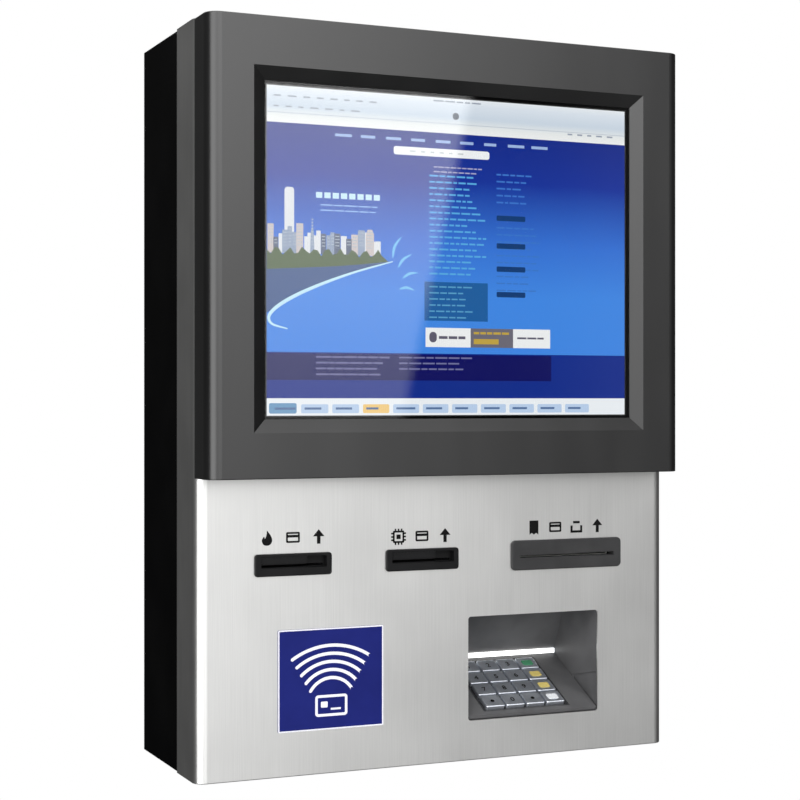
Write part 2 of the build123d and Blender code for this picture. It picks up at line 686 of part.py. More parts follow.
def display_rails():
    """Two upright straps behind the panel, screwed to the door sheet above and below the window."""
    rails = []
    for sx in (-1, 1):
        x = centred(sx * RAIL_X, RAIL_W)
        rail = block(x, (door_inner, door_inner + RAIL_T), centred(display_z, window_h + 2 * RAIL_LAP))
        outer = x[1] if sx > 0 else x[0]
        web_x = sorted((outer, outer - sx * RAIL_T))
        web = block(web_x, (door_inner, door_inner + 12), centred(display_z, window_h - 6))
        rails.append(rail + web)
    return rails


def display_driver_board():
    """Video board on four standoffs from the rails, with its chips, sockets and inverter can."""
    y = door_inner + RAIL_T + BOARD_STANDOFF
    span = 2 * RAIL_X + 12
    board = block(centred(0, span), (y, y + BOARD_T), centred(display_z, BOARD_H))
    for sx in (-1, 1):
        for sz in (-1, 1):
            x = sx * (RAIL_X + 2)
            z = display_z + sz * (BOARD_H / 2 - 8)
            board += rod_y(3.2, x, (door_inner + RAIL_T, y + 0.5), z)
    chips = ((-60, 20, 28, 28, 3), (-10, -15, 20, 20, 3), (35, 22, 24, 14, 6), (70, -20, 30, 22, 11))
    for dx, dz, w, h, t in chips:
        board += block(
            centred(dx, w), (y + 1.2, y + BOARD_T + t), centred(display_z + dz, h)
        )
    for i in range(5):
        board += block(
            centred(-70 + i * 24, 15),
            (y + 1.2, y + 9),
            (display_z - BOARD_H / 2, display_z - BOARD_H / 2 + 12),
        )
    return board


# ---- card readers
def snout(x, cut):
    """Part of a bezel that goes through its cut-out and meets the device behind."""
    return rounded_plate(
        centred(x, cut[0] - 2 * FIT),
        (door_front - 1, device_front),
        centred(slot_z, cut[1] - 2 * FIT),
        CUT_ROUND - FIT,
    )


def card_bezel(x):
    """Moulded mouth with a wide slot and a thumb notch at its right-hand end."""
    w, h = card_bezel_size
    face = door_front - PROUD
    plate = rounded_plate(centred(x, w), (face, door_front), centred(slot_z, h), 2.5)
    plate = fillet(plate.faces().sort_by(Axis.Y)[0].edges(), 0.9)
    bezel = plate + snout(x, card_cut)
    bezel -= block(centred(x, card_mouth[0]), (face - 1, face + 2.4), centred(paper_z, card_mouth[1]))
    bezel -= block(centred(x, CARD_SLOT_W), (face - 1, device_front + 1), centred(paper_z, SLOT_H))
    notch_x = (x + card_mouth[0] / 2 - THUMB_NOTCH[0], x + card_mouth[0] / 2)
    notch_z = (paper_z - card_mouth[1] / 2, paper_z - card_mouth[1] / 2 + THUMB_NOTCH[1])
    bezel -= rounded_plate(notch_x, (face - 1, face + THUMB_NOTCH[2]), notch_z, 1.2)
    # shallow field above the slot, left of the notch, with a raised card guide in it
    field_x = (x - card_mouth[0] / 2, notch_x[0])
    bezel -= block(field_x, (face - 1, face + 0.8), (paper_z, notch_z[1]))
    guide_z = (paper_z + SLOT_H / 2 + 1.5, notch_z[1] - 0.8)
    bezel += block((field_x[0] + 1.2, field_x[1]), (face + 0.3, face + 1.5), guide_z)
    return bezel


def card_reader(x):
    """Reader module: chassis with its card way, cover board, contact block and connector."""
    front = device_front
    rear = front + READER_D
    z = centred(paper_z, READER_H)
    body = block(centred(x, reader_w), (front, rear), z)
    body = fillet(body.edges().filter_by(Axis.Y), 1.5)
    body -= block(centred(x, CARD_SLOT_W), (front - 1, front + CARD_WAY_D), centred(paper_z, SLOT_H))
    for sx in (-1, 1):
        cheek = sorted((x + sx * reader_w / 2, x + sx * (reader_w / 2 - READER_MARGIN + 1)))
        body -= block(cheek, (front + 14, rear - 14), (z[0] + 8, z[1] - 8))
        ear = sorted((x + sx * (reader_w / 2 - 1), x + sx * (reader_w / 2 + EAR_W)))
        body += block(ear, (front, front + 2), centred(paper_z, 16))
    body += block(centred(x, 44), (front + 12, rear - 8), (z[1] - 0.5, z[1] + 2))
    for i in range(3):
        body += block(centred(x - 12 + 12 * i, 8), (front + 24, front + 36), (z[1] + 1.5, z[1] + 4))
    body += block(centred(x, 26), (rear - 1, rear + 5), centred(z[0] + 9, 8))
    return body


def device_posts():
    """Spacers that carry the two readers' ears and the printer's four feet on the door sheet."""
    spacer_y = (door_inner, device_front)
    posts = []
    for sx in (-1, 1):
        for x in (GAS_CARD_X, BANK_CARD_X):
            posts.append(rod_y(POST_R, x + sx * (reader_w / 2 + EAR_HOLE), spacer_y, paper_z))
        for z in (printer_z[0] + 6, printer_z[1] - 6):
            posts.append(rod_y(POST_R, RECEIPT_X + sx * (printer_half + POST_R), spacer_y, z))
    return posts


# ---- receipt printer
def receipt_bezel():
    w, h = receipt_bezel_size
    face = door_front - PROUD
    plate = rounded_plate(centred(RECEIPT_X, w), (face, door_front), centred(slot_z, h), 4)
    plate = fillet(plate.faces().sort_by(Axis.Y)[0].edges(), 1.1)
    bezel = plate + snout(RECEIPT_X, receipt_cut)
    slot_x = centred(RECEIPT_X, RECEIPT_SLOT_W)
    bezel -= block(slot_x, (face - 1, device_front + 1), centred(paper_z, SLOT_H))
    # the slot's right-hand part is a little taller, to get a finger behind the paper
    wide, rise, deep = FINGER_RELIEF
    relief_z = centred(paper_z, SLOT_H + 2 * rise)
    return bezel - block((slot_x[1] - wide, slot_x[1]), (face - 1, face + deep), relief_z)


def printer_frame():
    """Two side plates on a base, with the paper chute in front and the cutter bar over it."""
    t = PRINTER_PLATE_T
    front = device_front
    rear = roll_y + ROLL_R * 0.75
    low, high = printer_z
    frame = block(printer_x, (front, rear), (low, low + t))
    for x in ((printer_x[0], printer_x[0] + t), (printer_x[1] - t, printer_x[1])):
        side = block(x, (front, rear), (low, high))
        side = side - rod_x(PLATEN_BORE_R, (x[0] - 1, x[1] + 1), platen_y, platen_z)
        side = side - rod_x(SPINDLE_R + 0.1, (x[0] - 1, x[1] + 1), roll_y, roll_z)
        frame += side
    inner = (printer_x[0] + t, printer_x[1] - t)
    frame += block(inner, (front, front + 9), (paper_z - 9, paper_z - 0.8))
    frame += block(inner, (front, front + 7), (paper_z + 0.8, paper_z + 12))
    for x in printer_x:
        ear = centred(x, 12)
        for ear_z in ((low, low + 12), (high - 12, high)):
            frame += block(ear, (front, front + 2), ear_z)
    return frame


def print_head():
    """Thermal head bar under the platen, on a heat sink that stands on the printer's base."""
    x = centred(RECEIPT_X, ROLL_W + 4)
    head = block(x, centred(platen_y, 10), (paper_z - 6, paper_z - 0.1))
    head += block(x, centred(platen_y + 2, 16), (paper_z - 16, paper_z - 5))
    for i in range(6):
        groove_x = centred(x[0] + 10 + i * 12.8, 5)
        head -= block(groove_x, (platen_y + 4, platen_y + 11), (paper_z - 14, paper_z - 7))
    return head


def platen_roller():
    return rod_x(PLATEN_R, centred(RECEIPT_X, ROLL_W + 4), platen_y, platen_z) - rod_x(
        PLATEN_SHAFT_R, centred(RECEIPT_X, ROLL_W + 6), platen_y, platen_z
    )


def platen_shaft():
    ends = (printer_x[0] - 5, printer_x[1] + 3)
    return rod_x(PLATEN_SHAFT_R, ends, platen_y, platen_z) + rod_x(
        7, (ends[0] + 0.5, ends[0] + 4), platen_y, platen_z
    )


def roll_spindle():
    spindle = rod_x(SPINDLE_R, (printer_x[0] - 1, printer_x[1] + 1), roll_y, roll_z)
    for x in ((printer_x[0] - 3, printer_x[0]), (printer_x[1], printer_x[1] + 3)):
        spindle += rod_x(SPINDLE_R + 3, x, roll_y, roll_z)
    return spindle


def paper_roll():
    return rod_x(ROLL_R, centred(RECEIPT_X, ROLL_W), roll_y, roll_z) - rod_x(
        ROLL_CORE_R, centred(RECEIPT_X, ROLL_W + 2), roll_y, roll_z
    )


# ---- contactless reader
def sign_window():
    """Window plate over the aerial: a thin rim on the steel and a body through its cut-out."""
    face = door_front - SIGN_T
    plate = rounded_plate(centred(SIGN_X, SIGN_W), (face, door_front), centred(lower_z, SIGN_H), 1)
    body = rounded_plate(
        centred(SIGN_X, sign_cut[0] - 2 * FIT),
        (door_front - SIGN_T / 2, door_inner + SHEET),
        centred(lower_z, sign_cut[1] - 2 * FIT),
        1.7,
    )
    return plate + body


def aerial_housing():
    front = door_inner + SHEET
    width, height = sign_cut[0] + 2 * AERIAL_MARGIN, sign_cut[1] + 2 * AERIAL_MARGIN
    rear = front + AERIAL_T
    tray = rounded_plate(centred(SIGN_X, width), (front, rear), centred(lower_z, height), 4)
    tray += block(centred(SIGN_X, width - 20), (rear - 1, rear + 2), centred(lower_z, height - 30))
    for sx in (-1, 1):
        for sz in (-1, 1):
            x, z = SIGN_X + sx * (width / 2 - 4.2), lower_z + sz * (height / 2 - 4.2)
            tray += rod_y(3.2, x, (door_inner, front + 1), z)
    return tray


# ---- keypad in its recess
def recess_outline(grow):
    """Side view of the recess as (Y, Z) points, grown outwards by grow, its floor the plate's underside."""
    under = (PLATE_T + grow) / cos(radians(KEYPAD_TILT))
    floor_front = plate_front_z - under
    ceiling_y = door_front + CEILING_DEPTH
    rear = back_foot_y + grow + (LIGHT_D if grow else 0)
    foot_rise = (rear - door_inner) * slope
    back_low = plate_front_z + (back_foot_y - door_inner) * slope + LIGHT_H
    points = [
        (door_inner, recess_top + grow),
        (ceiling_y + grow, recess_top + grow),
        (rear, back_low + grow),
        (rear, floor_front + foot_rise),
        (door_inner, floor_front),
    ]
    return points


def recess_prism(points, width):
    face = Plane.YZ * make_face(Polyline(*points, close=True))
    return Pos(KEYPAD_X, 0, 0) * extrude(face, width / 2, both=True)


def light_slot_box(extra):
    """Where the light bar lies, across the foot of the back wall."""
    low = plate_front_z + (back_foot_y - door_inner) * slope
    return block(
        centred(KEYPAD_X, RECESS_W - 2 + 2 * extra),
        (back_foot_y - 2, back_foot_y + LIGHT_D - 2 + extra),
        (low - extra, low + LIGHT_H),
    )


def keypad_recess():
    """Moulded pocket: ceiling, leaning back wall, side walls with a sunk corner, and a floor frame."""
    wall = RECESS_WALL
    pocket = recess_prism(recess_outline(PLATE_SEAT), RECESS_W + 2 * wall)
    flange = rounded_plate(
        centred(KEYPAD_X, RECESS_W + 2 * RECESS_FLANGE),
        (door_inner, door_inner + 2),
        centred(lower_z, RECESS_H + 2 * RECESS_FLANGE - 2),
        5,
    )
    pocket += flange
    pocket -= recess_prism(recess_outline(0), RECESS_W)
    pocket -= block(
        centred(KEYPAD_X, RECESS_W), (door_inner - 1, door_inner + 4), (recess_foot, plate_front_z)
    )
    # sunk triangular corner low in each side wall
    sunk = [
        (door_inner - 0.1, plate_front_z - PLATE_T),
        (door_inner - 0.1, recess_foot + 35.2),
        (door_front + 44.7, recess_foot + 26.3),
        (door_front + 44.7, plate_front_z + 43.2 * slope - PLATE_T),
    ]
    pocket -= recess_prism(sunk, RECESS_W + 2.4)
    pocket -= light_slot_box(0.15)
    opening = Box(key_zone_w + 2 * FIT, key_zone_l + 2 * FIT, 40)
    return pocket - keypad_place * Pos(KEY_SHIFT, key_zone_y, -20) * opening


def keypad_plate():
    """Sloping plate that closes the pocket's floor round the keys."""
    near, far = FIT / cos(radians(KEYPAD_TILT)), plate_length - PLATE_T * slope - FIT
    plate = block(centred(0, RECESS_W - 2 * FIT), (near, far), (-PLATE_T, 0))
    plate -= Pos(KEY_SHIFT, key_zone_y, 0) * Box(key_zone_w, key_zone_l, 4 * PLATE_T)
    return keypad_place * plate


def keypad_light():
    """Bright diffuser bar that lights the keys from the foot of the back wall."""
    return light_slot_box(0)


def key_centre(row, column):
    """(X, Y) of a key on the keypad's own plane; row 0 is the far one."""
    x = KEY_SHIFT + (column - (KEY_COLUMNS - 1) / 2) * KEY_PITCH[0]
    y = key_zone_y + ((KEY_ROWS - 1) / 2 - row) * KEY_PITCH[1]
    return x, y


def keypad_body():
    top, low = -KEYPAD_SINK, -KEYPAD_BODY_D
    body = Pos(KEY_SHIFT, key_zone_y, (top + low) / 2) * Box(
        key_zone_w - 0.6, key_zone_l - 0.6, top - low
    )
    seat = -PLATE_T - PLATE_SEAT
    body += Pos(KEY_SHIFT, key_zone_y, seat - 1.5) * Box(key_zone_w + 10, key_zone_l + 8, 3)
    well = KEY_ROOT + KEY_STUB + KEY_TRAVEL + 0.7
    for row in range(KEY_ROWS):
        for column in range(KEY_COLUMNS):
            x, y = key_centre(row, column)
            body -= Pos(x, y, -well / 2 + 0.5) * Box(key_w + 2 * KEY_CLEAR, key_l + 2 * KEY_CLEAR, well + 1)
            body += rod_z(2.6, x, y, (-well - 0.5, -well + 0.5))
    return keypad_place * body


def key_cap(row, column):
    """One metal key: a rounded cap with a dished top, standing proud of the plate."""
    x, y = key_centre(row, column)
    cap = Pos(x, y, (KEY_PROUD - KEY_ROOT) / 2) * Box(key_w, key_l, KEY_PROUD + KEY_ROOT)
    cap = fillet(cap.edges().filter_by(Axis.Z), KEY_ROUND)
    cap = fillet(cap.faces().sort_by(Axis.Z)[-1].edges(), KEY_SOFT)
    cap -= Pos(x, y, KEY_PROUD + KEY_DISH_R - KEY_DISH) * Sphere(KEY_DISH_R)
    cap += rod_z(1.2, x, y, (-KEY_ROOT - KEY_STUB, -KEY_ROOT + 1))
    return keypad_place * cap


# ---- lock in the door's floor, at the free side
def lock_barrel():
    head = rod_z(LOCK_BARREL_R + 2.5, LOCK_X, lock_y, (bottom_z - 2.5, bottom_z))
    head = fillet(head.edges().filter_by(GeomType.CIRCLE).sort_by(Axis.Z)[0], 1.0)
    barrel = head + rod_z(LOCK_BARREL_R, LOCK_X, lock_y, (bottom_z - 1, lock_top - CAM_T - 1))
    nut = extrude(Pos(LOCK_X, lock_y, bottom_z + SHEET) * RegularPolygon(13, 6), 4)
    return barrel + nut - rod_z(LOCK_PLUG_R + 0.05, LOCK_X, lock_y, (bottom_z - 5, lock_top))


def lock_plug():
    """Key plug with its hooked cam. At rest its arm lies beside the strike pin's path, clear of the pin."""
    plug = rod_z(LOCK_PLUG_R, 0, 0, (bottom_z - 1.5, lock_top))
    plug -= Pos(0, 0, bottom_z - 1.5) * Box(1.6, 8, 8)
    cam_z = lock_top - CAM_T / 2
    hook_in = HOOK_R + STRIKE_PIN_R + PIN_CLEAR
    hook_out = hook_in + HOOK_T
    hook = Pos(0, 0, cam_z) * (Cylinder(hook_out, CAM_T) - Cylinder(hook_in, CAM_T))
    reach = 3 * hook_out
    rays = [(reach * cos(radians(a)), reach * sin(radians(a))) for a in (HOOK_START, HOOK_END)]
    sector = Polyline((0, 0), *rays, close=True)
    hook &= Pos(0, 0, cam_z - CAM_T) * extrude(make_face(sector), 2 * CAM_T)
    arm_l = hook_in + HOOK_T / 2
    arm = Rot(0, 0, HOOK_START) * (Pos(arm_l / 2, 0, cam_z) * Box(arm_l, ARM_W, CAM_T))
    cam = Pos(0, 0, cam_z) * Cylinder(CAM_R, CAM_T) + arm + hook
    return Pos(LOCK_X, lock_y, 0) * (plug + cam)


def lock_strike():
    """Bracket on the cabinet's lower lip, with the pin that the hook goes behind."""
    lip_back = cabinet_front + SHEET
    pin_y = lock_y + HOOK_R
    bracket = block(centred(LOCK_X, 30), (lip_back, lip_back + STRIKE_T), (cabinet_floor, strike_z[1]))
    bracket += block(centred(LOCK_X, 20), (pin_y - STRIKE_PIN_R - 1.5, lip_back + 1), strike_z)
    return bracket + rod_z(STRIKE_PIN_R, LOCK_X, pin_y, (strike_z[0], lock_top + 1.5))


# ---- write every sub-part
PARTS = {
    "rear_cabinet": rear_cabinet,
    "cable_grommet": cable_grommet,
    "mains_inlet": mains_inlet,
    "switch_housing": switch_housing,
    "switch_rocker": switch_rocker,
    "industrial_pc": industrial_pc,
    "power_supply": power_supply,
    "fan_frame": fan_frame,
    "fan_rotor": fan_rotor,
    "cabinet_hinge_leaves": cabinet_hinge_leaves,
    "hinge_pins": hinge_pins,
    "cabinet_screws": cabinet_screws,
    "lock_strike": lock_strike,
    "door_shell": door_shell,
    "door_seal": door_seal,
    "door_hinge_leaves": door_hinge_leaves,
    "door_screws": door_screws,
    "monitor_frame": monitor_frame,
    "touch_glass": touch_glass,
    "glass_gasket": glass_gasket,
    "display_panel": display_panel,
    "display_rails": display_rails,
    "display_driver_board": display_driver_board,
    "gas_card_bezel": lambda: card_bezel(GAS_CARD_X),
    "bank_card_bezel": lambda: card_bezel(BANK_CARD_X),
    "gas_card_reader": lambda: card_reader(GAS_CARD_X),
    "bank_card_reader": lambda: card_reader(BANK_CARD_X),
    "device_posts": device_posts,
    "receipt_bezel": receipt_bezel,
    "printer_frame": printer_frame,
    "print_head": print_head,
    "platen_roller": platen_roller,
    "platen_shaft": platen_shaft,
    "roll_spindle": roll_spindle,
    "paper_roll": paper_roll,
    "sign_window": sign_window,
    "aerial_housing": aerial_housing,
    "keypad_recess": keypad_recess,
    "keypad_plate": keypad_plate,
    "keypad_light": keypad_light,
    "keypad_body": keypad_body,
    "lock_barrel": lock_barrel,
    "lock_plug": lock_plug,
}
for key_row in range(KEY_ROWS):
    for key_column in range(KEY_COLUMNS):
        name = f"key_{key_row + 1}{key_column + 1}"
        PARTS[name] = lambda r=key_row, c=key_column: key_cap(r, c)


def save(name, made):
    """Writes one node; a list is a group of separate solids."""
    shapes = made if isinstance(made, list) else [made]
    solids = [solid for shape in shapes for solid in shape.solids()]
    export_step(Compound(solids), f"parts/{name}.step")


os.makedirs("parts", exist_ok=True)
for part_name, make in PARTS.items():
    save(part_name, make())
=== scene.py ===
import json
import math
import random

import bmesh
import bpy
from mathutils import Matrix, Vector


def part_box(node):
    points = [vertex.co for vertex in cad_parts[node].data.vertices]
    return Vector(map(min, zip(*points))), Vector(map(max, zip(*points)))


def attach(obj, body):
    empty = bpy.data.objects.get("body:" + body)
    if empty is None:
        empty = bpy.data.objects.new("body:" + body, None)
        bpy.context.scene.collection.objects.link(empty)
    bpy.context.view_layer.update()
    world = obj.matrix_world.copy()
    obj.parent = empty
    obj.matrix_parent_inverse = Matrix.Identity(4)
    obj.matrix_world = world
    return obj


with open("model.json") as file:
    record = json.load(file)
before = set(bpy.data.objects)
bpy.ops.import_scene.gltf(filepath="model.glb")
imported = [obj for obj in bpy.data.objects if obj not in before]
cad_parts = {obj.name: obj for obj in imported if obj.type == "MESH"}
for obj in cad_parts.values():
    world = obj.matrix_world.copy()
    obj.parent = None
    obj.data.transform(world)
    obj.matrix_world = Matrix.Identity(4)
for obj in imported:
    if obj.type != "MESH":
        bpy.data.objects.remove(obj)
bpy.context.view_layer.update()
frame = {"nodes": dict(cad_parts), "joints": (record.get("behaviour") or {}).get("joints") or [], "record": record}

MM = 0.001


# ---- places taken from the frame
def box_of(node):
    low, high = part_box(node)
    return Vector(low), Vector(high)


door_low, door_high = box_of("door_shell")
panel_low, panel_high = box_of("display_panel")
bezel_boxes = {name: box_of(name) for name in ("gas_card_bezel", "bank_card_bezel", "receipt_bezel")}
sign_low, sign_high = box_of("sign_window")
FACE_Y = door_low.y                       # steel face of the door
SLOT_Z = (bezel_boxes["gas_card_bezel"][0].z + bezel_boxes["gas_card_bezel"][1].z) / 2
PANEL_RIM = 10.25 * MM                    # metal rim round the lit area
LIT_LEFT = panel_low.x + PANEL_RIM
LIT_TOP = panel_high.z - PANEL_RIM
LIT_W = panel_high.x - panel_low.x - 2 * PANEL_RIM
LIT_H = panel_high.z - panel_low.z - 2 * PANEL_RIM
PRINT_T = 0.12 * MM                       # thickness of printed ink


# ---- shader maths
class Flow:
    """A socket's value. Arithmetic on it adds Math nodes."""

    def __init__(self, finish, socket):
        self.finish = finish
        self.socket = socket

    def math(self, operation, *values):
        return self.finish.node("ShaderNodeMath", {"operation": operation}, dict(enumerate(values)))

    def __add__(self, other):
        return self.math("ADD", self, other)

    __radd__ = __add__

    def __sub__(self, other):
        return self.math("SUBTRACT", self, other)

    def __rsub__(self, other):
        return self.math("SUBTRACT", other, self)

    def __mul__(self, other):
        return self.math("MULTIPLY", self, other)

    __rmul__ = __mul__

    def __truediv__(self, other):
        return self.math("DIVIDE", self, other)

    def __abs__(self):
        return self.math("ABSOLUTE", self)

    def below(self, edge):
        return self.math("LESS_THAN", self, edge)

    def above(self, edge):
        return self.math("GREATER_THAN", self, edge)

    def rise(self, start, end):
        """0 before start, 1 after end, smooth between."""
        values = {"Value": self, "From Min": start, "From Max": end}
        return self.finish.node("ShaderNodeMapRange", {"interpolation_type": "SMOOTHSTEP"}, values)


class Finish:
    """One material or the studio's sky, with its node tree."""

    def __init__(self, tree):
        self.tree = tree
        tree.nodes.clear()

    def node(self, kind, settings=None, values=None, output=0):
        """Adds a node: its settings first, then its sockets by name or number. Returns an output's Flow."""
        made = self.tree.nodes.new(kind)
        for key, setting in (settings or {}).items():
            if key == "stops":
                self.set_stops(made.color_ramp, setting)
            else:
                setattr(made, key, setting)
        for key, value in (values or {}).items():
            socket = made.inputs[key]
            if isinstance(value, Flow):
                self.tree.links.new(value.socket, socket)
            else:
                socket.default_value = value
        return Flow(self, made.outputs[output]) if made.outputs else None

    @staticmethod
    def set_stops(ramp, stops):
        while len(ramp.elements) < len(stops):
            ramp.elements.new(1.0)
        for element, (place, colour) in zip(ramp.elements, stops):
            element.position = place
            element.color = (*colour, 1.0)

    def place(self):
        """Position in metres, in the row's own frame."""
        return self.node("ShaderNodeTexCoord", output=3)

    def parts(self, vector):
        split = self.node("ShaderNodeSeparateXYZ", values={0: vector})
        outputs = split.socket.node.outputs
        return [Flow(self, outputs[i]) for i in range(3)]

    def stretched(self, vector, scale):
        return self.node("ShaderNodeVectorMath", {"operation": "MULTIPLY"}, {0: vector, 1: scale})

    def noise(self, vector, scale, detail=3.0, roughness=0.5):
        values = {"Vector": vector, "Scale": scale, "Detail": detail, "Roughness": roughness}
        return self.node("ShaderNodeTexNoise", values=values)

    def ramp(self, factor, *stops):
        return self.node("ShaderNodeValToRGB", {"stops": stops}, {"Fac": factor})

    def mix(self, factor, first, second):
        first, second = [c if isinstance(c, Flow) else (*c, 1.0) for c in (first, second)]
        return self.node("ShaderNodeMix", {"data_type": "RGBA"}, {0: factor, 6: first, 7: second}, output=2)

    def bump(self, height, strength, depth):
        return self.node("ShaderNodeBump", values={"Height": height, "Strength": strength, "Distance": depth})

    def surface(self, **values):
        """The shader itself. Names use _ for a space."""
        named = {key.replace("_", " "): value for key, value in values.items()}
        named = {("Specular IOR Level" if key == "Specular" else key): value for key, value in named.items()}
        shader = self.node("ShaderNodeBsdfPrincipled", values=named)
        self.node("ShaderNodeOutputMaterial", values={"Surface": shader})


def finish_of(name, make, *facts):
    """Makes a named material by one of the functions below."""
    material = bpy.data.materials.new(name)
    material.use_nodes = True
    make(Finish(material.node_tree), *facts)
    return material


# ---- finishes
PANEL_DARK = (0.004, 0.004, 0.004, 1.0)    # an unlit screen


def brushed_metal(f, tint, streaks, rough, grain_depth):
    """Satin metal with fine lines along the way that streaks leaves unstretched."""
    place = f.place()
    line = f.noise(f.stretched(place, streaks), 1.0, 4.0, 0.6)
    smudge = f.noise(place, 9.0, 3.0, 0.55)
    tone = 0.5 * line + 0.5 * smudge
    low = [c * 0.93 for c in tint]
    high = [min(1.0, c * 1.05) for c in tint]
    f.surface(
        Base_Color=f.mix(tone.rise(0.3, 0.7), low, high),
        Metallic=1.0,
        Roughness=rough + 0.10 * (line - 0.5) + 0.08 * (smudge - 0.5),
        Normal=f.bump(line, 0.25, grain_depth),
    )


def satin_steel(f):
    brushed_metal(f, (0.72, 0.72, 0.71), (1500.0, 1500.0, 14.0), 0.36, 0.00004)


def plain_steel(f):
    brushed_metal(f, (0.50, 0.50, 0.50), (900.0, 900.0, 60.0), 0.33, 0.00004)


def powder_coat(f):
    """Matt black powder coat with its fine orange-peel grain."""
    place = f.place()
    grain = f.noise(place, 1500.0, 2.0)
    haze = f.noise(place, 14.0, 4.0)
    f.surface(
        Base_Color=f.mix(haze.rise(0.35, 0.75), (0.0010, 0.0010, 0.0011), (0.0022, 0.0022, 0.0023)),
        Roughness=0.68 + 0.10 * (haze - 0.5),
        Specular=0.03,
        Normal=f.bump(grain, 0.35, 0.00012),
    )


def frame_lacquer(f):
    """Satin black lacquer over the display frame, with a trace of flow in it."""
    place = f.place()
    flow = f.noise(place, 260.0, 2.0)
    wipe = f.noise(f.stretched(place, (30.0, 30.0, 6.0)), 1.0, 4.0)
    f.surface(
        Base_Color=f.mix(wipe.rise(0.3, 0.7), (0.0036, 0.0036, 0.0038), (0.0062, 0.0062, 0.0064)),
        Roughness=0.30 + 0.06 * (wipe - 0.5),
        Specular=0.85,
        Normal=f.bump(flow, 0.10, 0.00010),
    )


def moulded_plastic(f, colour, rough, grain, gloss=0.5):
    """Plastic with a spark-eroded texture: grain is its pitch's inverse, in 1/m."""
    place = f.place()
    texture = f.noise(place, grain, 2.0, 0.6)
    patch = f.noise(place, 40.0, 3.0)
    low = [c * 0.88 for c in colour]
    high = [c * 1.12 for c in colour]
    f.surface(
        Base_Color=f.mix(patch.rise(0.3, 0.7), low, high),
        Roughness=rough + 0.12 * (patch - 0.5),
        Specular=gloss,
        Normal=f.bump(texture, 0.30, 0.00008),
    )


def rubber(f):
    place = f.place()
    pores = f.noise(place, 1800.0, 3.0, 0.7)
    f.surface(
        Base_Color=f.mix(pores.rise(0.3, 0.7), (0.010, 0.010, 0.010), (0.022, 0.022, 0.022)),
        Roughness=0.72 + 0.15 * (pores - 0.5),
        Normal=f.bump(pores, 0.5, 0.0002),
    )


def printed(f, colour):
    """Screen-printed ink: nearly flat, slightly uneven."""
    uneven = f.noise(f.place(), 900.0, 3.0)
    low = [c * 0.9 for c in colour]
    f.surface(
        Base_Color=f.mix(uneven.rise(0.3, 0.7), low, colour),
        Roughness=0.55 + 0.1 * (uneven - 0.5),
        Specular=0.10,
    )


def sign_film(f):
    """Blue film on the back of a clear satin plate."""
    place = f.place()
    uneven = f.noise(place, 30.0, 3.0)
    f.surface(
        Base_Color=f.mix(uneven.rise(0.3, 0.7), (0.0075, 0.012, 0.118), (0.0095, 0.015, 0.142)),
        Roughness=0.42 + 0.06 * (uneven - 0.5),
        Specular=0.10,
    )


def clear_glass(f):
    """Toughened glass. The faint haze in its roughness is wiped-on grease."""
    wipe = f.noise(f.stretched(f.place(), (20.0, 20.0, 8.0)), 1.0, 4.0)
    f.surface(
        Base_Color=(0.97, 0.985, 0.98, 1.0),
        Roughness=0.004 + 0.006 * wipe,
        Transmission_Weight=1.0,
        IOR=1.5,
    )


def glowing(f, colour, strength):
    """A lit part of the screen, with the panel's fine vertical banding."""
    x, _, _ = f.parts(f.place())
    band = (x * 3400.0).math("SINE", x * 3400.0) * 0.02 + 0.98
    lit = f.node("ShaderNodeVectorMath", {"operation": "SCALE"}, {0: colour, "Scale": band})
    f.surface(
        Base_Color=PANEL_DARK, Roughness=0.5, Specular=0.0, Emission_Color=lit, Emission_Strength=strength
    )


def page_sky(f):
    """The page's ground: deep blue at the top, clearing to azure half way down."""
    _, _, z = f.parts(f.place())
    down = (LIT_TOP - z) / LIT_H
    uneven = f.noise(f.place(), 12.0, 2.0)
    shade = f.ramp(
        down + 0.03 * (uneven - 0.5),
        (0.10, (0.0025, 0.020, 0.25)),
        (0.26, (0.004, 0.030, 0.33)),
        (0.46, (0.035, 0.17, 0.68)),
        (0.62, (0.052, 0.25, 0.80)),
        (1.00, (0.052, 0.25, 0.80)),
    )
    f.surface(
        Base_Color=PANEL_DARK, Roughness=0.5, Specular=0.0, Emission_Color=shade, Emission_Strength=1.0
    )


def header_tint(f):
    """White tool rows that grey a little in the middle."""
    _, _, z = f.parts(f.place())
    down = (LIT_TOP - z) / LIT_H
    shade = f.ramp(
        down,
        (0.000, (0.86, 0.89, 0.93)),
        (0.018, (0.74, 0.80, 0.88)),
        (0.060, (0.62, 0.70, 0.80)),
        (0.090, (0.84, 0.86, 0.86)),
        (0.115, (0.93, 0.93, 0.93)),
    )
    f.surface(
        Base_Color=PANEL_DARK, Roughness=0.5, Specular=0.0, Emission_Color=shade, Emission_Strength=1.0
    )


def light_diffuser(f):
    """Opal strip lit from behind, slightly dimmer to its ends."""
    x, _, _ = f.parts(f.place())
    low, high = box_of("keypad_light")
    middle = (low.x + high.x) / 2
    end = abs(x - middle) / ((high.x - low.x) / 2)
    shade = f.mix(end.rise(0.85, 1.0), (1.0, 1.0, 0.98), (0.75, 0.78, 0.80))
    f.surface(Base_Color=(0.9, 0.9, 0.9, 1.0), Roughness=0.4, Emission_Color=shade, Emission_Strength=2.2)


